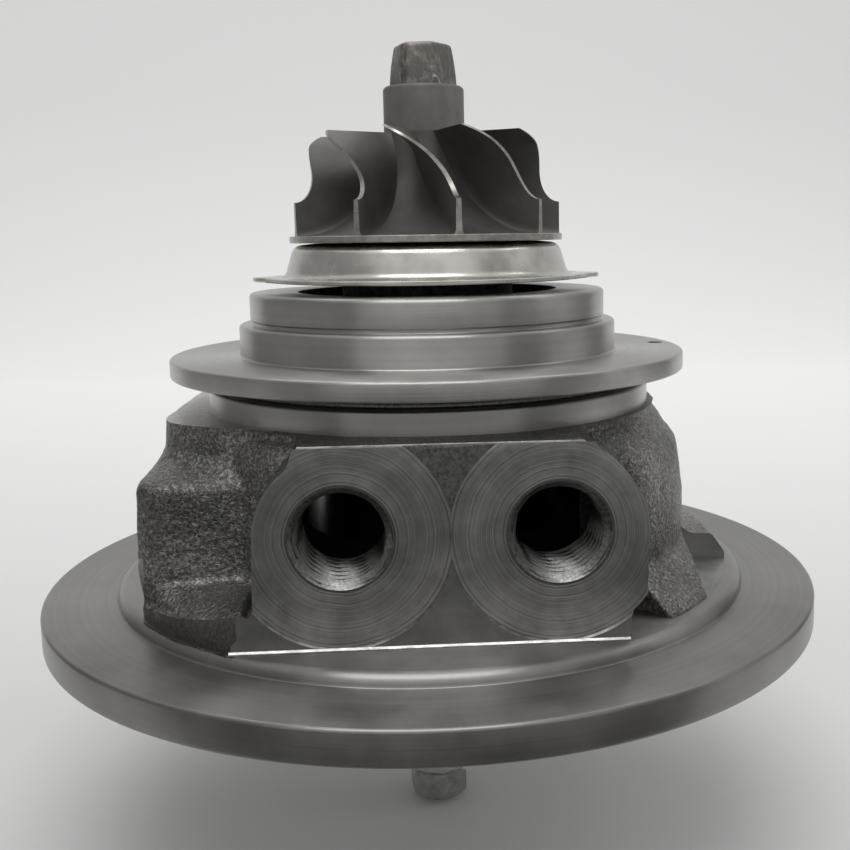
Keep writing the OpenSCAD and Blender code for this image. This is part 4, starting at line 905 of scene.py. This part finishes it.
def bladedWheel(name, w, finishes, steps=40, spans=9, gaps=7):
    perBlade = 2 + gaps
    columns = w["count"] * perBlade
    pitch = 2 * math.pi / w["count"]

    def hubAt(s):
        turn = math.pi / 2 * s
        return Vector((w["bladeR"] - (w["bladeR"] - w["hubR"]) * math.sin(turn),
                       w["height"] - (w["height"] - w["discT"]) * math.cos(turn)))

    def shroudAt(s):
        if s < w["bend"]:
            turn = math.pi / 2 * s / w["bend"]
            return Vector((w["bladeR"] - (w["bladeR"] - w["eyeR"]) * math.sin(turn),
                           w["bendH"] - (w["bendH"] - w["inletH"]) * math.cos(turn)))
        t = (s - w["bend"]) / (1 - w["bend"])
        inward = max(0, (t - 0.6) / 0.4) ** 2  # the tip corner is rounded off
        return Vector((w["eyeR"] - w["corner"] * inward, w["bendH"] + (w["height"] - w["bendH"]) * t))

    def halfThick(t):
        thick = w["edgeT"] + (w["rootT"] - w["edgeT"]) * (1 - t)
        return thick / 2 + w["fillet"] / 2 * max(0, 1 - t / w["filletSpan"]) ** 2

    def sweep(s):
        return math.radians(w["wrap"]) * s ** w["power"]

    def spot(place, turn):
        turn += math.radians(w["phase"])
        return (place[0] * math.cos(turn), place[0] * math.sin(turn), w["baseZ"] + w["facing"] * place[1])

    shares = [i / steps for i in range(steps + 1)]
    hub = [hubAt(s) for s in shares]
    shroud = [shroudAt(s) for s in shares]
    spanShares = [(j / spans) ** 1.5 for j in range(spans + 1)]
    lower = [(w["tipR"] - 0.15, 0), (w["tipR"], 0.12), (w["tipR"], w["discT"] - 0.1),
             (w["tipR"] - 0.1, w["discT"])]
    profile = lower + [tuple(p) for p in hub] + w["upper"]
    first, lastRow = len(lower), len(profile) - 1
    points = []
    for row, p in enumerate(profile):
        i = min(max(row - first, 0), steps)
        half = halfThick(0) / hub[i][0]
        for k in range(w["count"]):
            middle = k * pitch + sweep(shares[i])
            points.append(spot(p, middle - half))
            for e in range(gaps + 1):
                points.append(spot(p, middle + half + (pitch - 2 * half) * e / (gaps + 1)))
    points += [spot((0, profile[0][1]), 0), spot((0, profile[lastRow][1]), 0)]
    bladeBase = len(points)
    for k in range(w["count"]):
        for side in (-1, 1):
            for i in range(steps + 1):
                for t in spanShares[1:]:
                    p = hub[i].lerp(shroud[i], t)
                    points.append(spot(p, k * pitch + sweep(shares[i]) + side * halfThick(t) / p[0]))
    foilEnd = 2 * spans + 1

    def cell(row, column):
        return row * columns + column % columns

    def foil(k, i, e):
        if e == 0:
            return cell(first + i, k * perBlade)
        if e == foilEnd:
            return cell(first + i, k * perBlade + 1)
        side, j = (0, e - 1) if e <= spans else (1, foilEnd - 1 - e)
        return bladeBase + ((2 * k + side) * (steps + 1) + i) * spans + j

    def lastStep(k):
        return round(w["split"] * steps) if k % 2 else steps

    faces, picks = [], []

    def add(face, pick):
        faces.append(face)
        picks.append(pick)

    for row in range(lastRow):
        for column in range(columns):
            k, e = divmod(column, perBlade)
            if e == 0 and first <= row < first + lastStep(k):
                continue
            add((cell(row, column), cell(row, column + 1), cell(row + 1, column + 1), cell(row + 1, column)),
                1 if row < first else 2 if row >= first + steps else 0)
    for k in range(w["count"]):
        end = lastStep(k)
        for i in range(end):
            for e in range(foilEnd):
                add((foil(k, i, e), foil(k, i, e + 1), foil(k, i + 1, e + 1), foil(k, i + 1, e)),
                    1 if e == spans else 0)
        for j in range(spans):
            for i in (0, end):
                add((foil(k, i, j), foil(k, i, j + 1),
                     foil(k, i, foilEnd - 1 - j), foil(k, i, foilEnd - j)), 1)
    for column in range(columns):
        add((bladeBase - 2, cell(0, column), cell(0, column + 1)), 1)
        add((bladeBase - 1, cell(lastRow, column), cell(lastRow, column + 1)), 2)
    return makePiece(name, points, faces, finishes, picks, angle=36)


castNose = {
    "foot": 74.9, "top": 81.05, "flat": 4.4, "corner": 1.09, "taper": 0.16, "crown": 0.5, "turn": 12.0,
}


def noseShell(n, rows=24, columns=72):
    # six sided cast nose, slightly barrelled, with a rounded top
    rings = []
    height = n["top"] - n["foot"]
    for i in range(rows + 1):
        t = i / rows
        z = n["foot"] + height * t
        topIn = max(0, z - (n["top"] - n["crown"]))
        shrink = n["crown"] - math.sqrt(max(n["crown"] ** 2 - topIn ** 2, 0))
        flat = n["flat"] * (1 - n["taper"] * t ** 1.7) - shrink
        ring = []
        for k in range(columns):
            turn = 2 * math.pi * k / columns
            inFace = (turn + math.radians(n["turn"] * t)) % (math.pi / 3) - math.pi / 6
            r = min(flat / math.cos(inFace), flat * n["corner"])
            ring.append((r * math.cos(turn), r * math.sin(turn), z))
        rings.append(ring)
    return loft(rings)


turbinePiece = bladedWheel("turbineWheel", turbineWheel, [alloyCast, alloyGround, alloyCollar])
cutAway(turbinePiece, [(noseShell(castNose), alloyNose)], "UNION", 36)
place(turbinePiece, "rotor", "turbine_alloy", "turbine_wheel")
compressorPiece = bladedWheel("compressorWheel", compressorWheel, [aluminiumMilled] * 3)
place(compressorPiece, "rotor", "aluminium", "compressor_wheel")
print("wheels made")

# Shaft nut with both faces chamfered

shaftNut = {
    "topZ": -28.1, "height": 4.5, "flats": 8.0, "turn": 38.0, "boreR": 2.52, "faceR": 3.8, "chamfer": 0.75,
}


def nutShells(n):
    # the hexagon, and the turned and bored shape that it is cut down to
    cornerR = n["flats"] / 2 / math.cos(math.pi / 6)
    turns = [math.radians(n["turn"] + 60 * k) for k in range(6)]
    low, high = n["topZ"] - n["height"], n["topZ"]
    hexagon = loft([[(cornerR * math.cos(t), cornerR * math.sin(t), z) for t in turns] for z in (low, high)])
    outerR = cornerR + 0.1
    return hexagon, lathe([(n["boreR"], low), (n["faceR"], low), (outerR, low + n["chamfer"]),
                           (outerR, high - n["chamfer"]), (n["faceR"], high), (n["boreR"], high)], 96)


nutHexagon, nutTurning = nutShells(shaftNut)
nutPiece = makePiece("compressorNut", *nutHexagon, [steelNut])
cutAway(nutPiece, [(nutTurning, steelNut)], "INTERSECT", 30)
place(nutPiece, "rotor", "steel", "compressor_nut")
print("nut made")

# The smaller CAD pieces keep their shape and take a finish

pieceFinishes = {
    "turbine_seal_ring": steelGround, "turbine_bush_circlips": steelSheet,
    "compressor_bush_circlip": steelSheet,
    "thrust_bearing": bronzeTurned, "thrust_bearing_pins": steelGround, "oil_deflector": steelSheet,
    "seal_plate": ironTurned, "seal_plate_o_ring": rubberSeal, "seal_plate_snap_ring": steelSheet,
    "compressor_seal_ring": steelGround, "rotor_shaft": steelGround, "thrust_collar": steelGround,
    "oil_flinger": steelGround, "turbine_journal_bush": bronzeTurned, "compressor_journal_bush": bronzeTurned,
}
for name, finish in pieceFinishes.items():
    nodes[name].data.materials.clear()
    nodes[name].data.materials.append(finish)
print("finishes set on", len(pieceFinishes), "pieces")

# Floor, light and camera

studio = {
    "floorZ": -33.3, "floorHalf": 2500.0, "sweepY": 500.0, "sweepR": 700.0, "wallZ": 2600.0,
    # the floor colour is darkened near the part as a painted shadow
    "floorColour": (0.88, 0.88, 0.875), "paintedShadowTone": 0.62, "paintedShadowY": 60, "paintedShadowFadeY": 500,
    "background": (0.73, 0.73, 0.722),
    "ambient": 0.72,
    "cards": [  # name, colour, corners
        ("cardFlat", 0.06, [(-170, -62, -32), (170, -62, -32), (420, -900, -32), (-420, -900, -32)]),
        ("cardLeft", 0.3, [(-330, -350, -33), (-330, 250, -33), (-330, 250, 330), (-330, -350, 330)]),
        ("cardRight", 0.34, [(330, -350, -33), (330, 250, -33), (330, 250, 330), (330, -350, 330)]),
    ],
    "lamps": [  # place, target, width, height, watts
        ((-40, -260, 560), (0, 0, 30), 460, 300, 1.6),
        ((-560, 40, 260), (0, 0, 30), 260, 460, 0.15),
        ((560, 40, 300), (0, 0, 0), 260, 460, 0.9),
        ((0, 420, 620), (0, 0, 30), 600, 300, 1.2),
    ],
}


def plainFloor(s):
    half = s["floorHalf"]
    side = [(-half, s["floorZ"])] + arc((s["sweepY"], s["floorZ"] + s["sweepR"]), s["sweepR"], -90, 0, 24)
    side.append((s["sweepY"] + s["sweepR"], s["wallZ"]))
    points = [(x, y, z) for y, z in side for x in (-half, half)]
    faces = [(2 * i, 2 * i + 1, 2 * i + 3, 2 * i + 2) for i in range(len(side) - 1)]
    floor = makePiece("floor", points, faces, [floorFinish(s)])


def floorFinish(s):
    # pale paper, darkened near the part by a painted shadow that fades out towards the wall
    finish = Finish("floorPaperPaintedShadow", s["floorColour"], 0.0, 0.7)
    x, y, z = finish.axes()
    near = [c * s["paintedShadowTone"] for c in s["floorColour"]]
    finish.colours(finish.spread(y, s["paintedShadowY"], s["paintedShadowFadeY"]), [(0.0, near), (1.0, s["floorColour"])])
    return finish.material


def darkCards(s):
    # dark cards for the floor and walls on the photographer's side, which only the metal sees
    for name, tone, corners in s["cards"]:
        piece = makePiece(name, corners, [(0, 1, 2, 3)],
                          [Finish(name, (tone, tone, tone), 0.0, 0.9).material])
        piece.visible_camera = False
        piece.visible_diffuse = False
        piece.visible_shadow = False
        piece.visible_transmission = False


def lightWorld(s):
    world = bpy.data.worlds.new("studio")
    bpy.context.scene.world = world
    world.use_nodes = True
    tree = world.node_tree
    seen = tree.nodes.new("ShaderNodeBackground")
    seen.inputs["Color"].default_value = (*s["background"], 1)
    fill = tree.nodes["Background"]
    fill.inputs["Color"].default_value = (1, 1, 1, 1)
    fill.inputs["Strength"].default_value = s["ambient"]
    ray = tree.nodes.new("ShaderNodeLightPath").outputs
    direct = ray["Is Camera Ray"]
    for kind in ("Is Glossy Ray", "Is Transmission Ray"):
        either = tree.nodes.new("ShaderNodeMath")
        either.operation = "MAXIMUM"
        tree.links.new(direct, either.inputs[0])
        tree.links.new(ray[kind], either.inputs[1])
        direct = either.outputs[0]
    mix = tree.nodes.new("ShaderNodeMixShader")
    tree.links.new(direct, mix.inputs["Fac"])
    tree.links.new(fill.outputs[0], mix.inputs[1])
    tree.links.new(seen.outputs[0], mix.inputs[2])
    tree.links.new(mix.outputs[0], tree.nodes["World Output"].inputs["Surface"])


def softLamps(s):
    for i, (spot, target, width, height, watts) in enumerate(s["lamps"]):
        lamp = bpy.data.lights.new(f"softLamp{i}", "AREA")
        lamp.shape = "RECTANGLE"
        lamp.size, lamp.size_y = width * mm, height * mm
        lamp.energy = watts
        stand = bpy.data.objects.new(lamp.name, lamp)
        stand.location = Vector(spot) * mm
        stand.rotation_euler = (Vector(target) - Vector(spot)).to_track_quat("-Z", "Y").to_euler()
        bpy.context.scene.collection.objects.link(stand)


photoCamera = {  # solved from the edges of the turned parts, in the part's frame
    "place": (-2.12, -158.03, 53.98), "right": (0.99741, -0.07061, -0.01399),
    "down": (-0.02461, -0.15185, -0.98810), "focus": 1063.0, "centre": (488.3, 401.0),
    "picture": 850, "sensor": 36.0,
}


def setCamera(c):
    data = bpy.data.cameras.new("photoCamera")
    data.sensor_width = c["sensor"]
    data.lens = c["focus"] * c["sensor"] / c["picture"]
    data.shift_x = (c["picture"] / 2 - c["centre"][0]) / c["picture"]
    data.shift_y = (c["centre"][1] - c["picture"] / 2) / c["picture"]
    data.clip_start, data.clip_end = 0.005, 20
    right, up = Vector(c["right"]), -Vector(c["down"])
    back = right.cross(up)
    camera = bpy.data.objects.new("photoCamera", data)
    turn = Matrix((right, up, back)).transposed()
    camera.matrix_world = Matrix.Translation(Vector(c["place"]) * mm) @ turn.to_4x4()
    bpy.context.scene.collection.objects.link(camera)
    bpy.context.scene.camera = camera


plainFloor(studio)
darkCards(studio)
lightWorld(studio)
softLamps(studio)
setCamera(photoCamera)
bpy.context.scene.view_settings.view_transform = "Standard"
print("studio set")
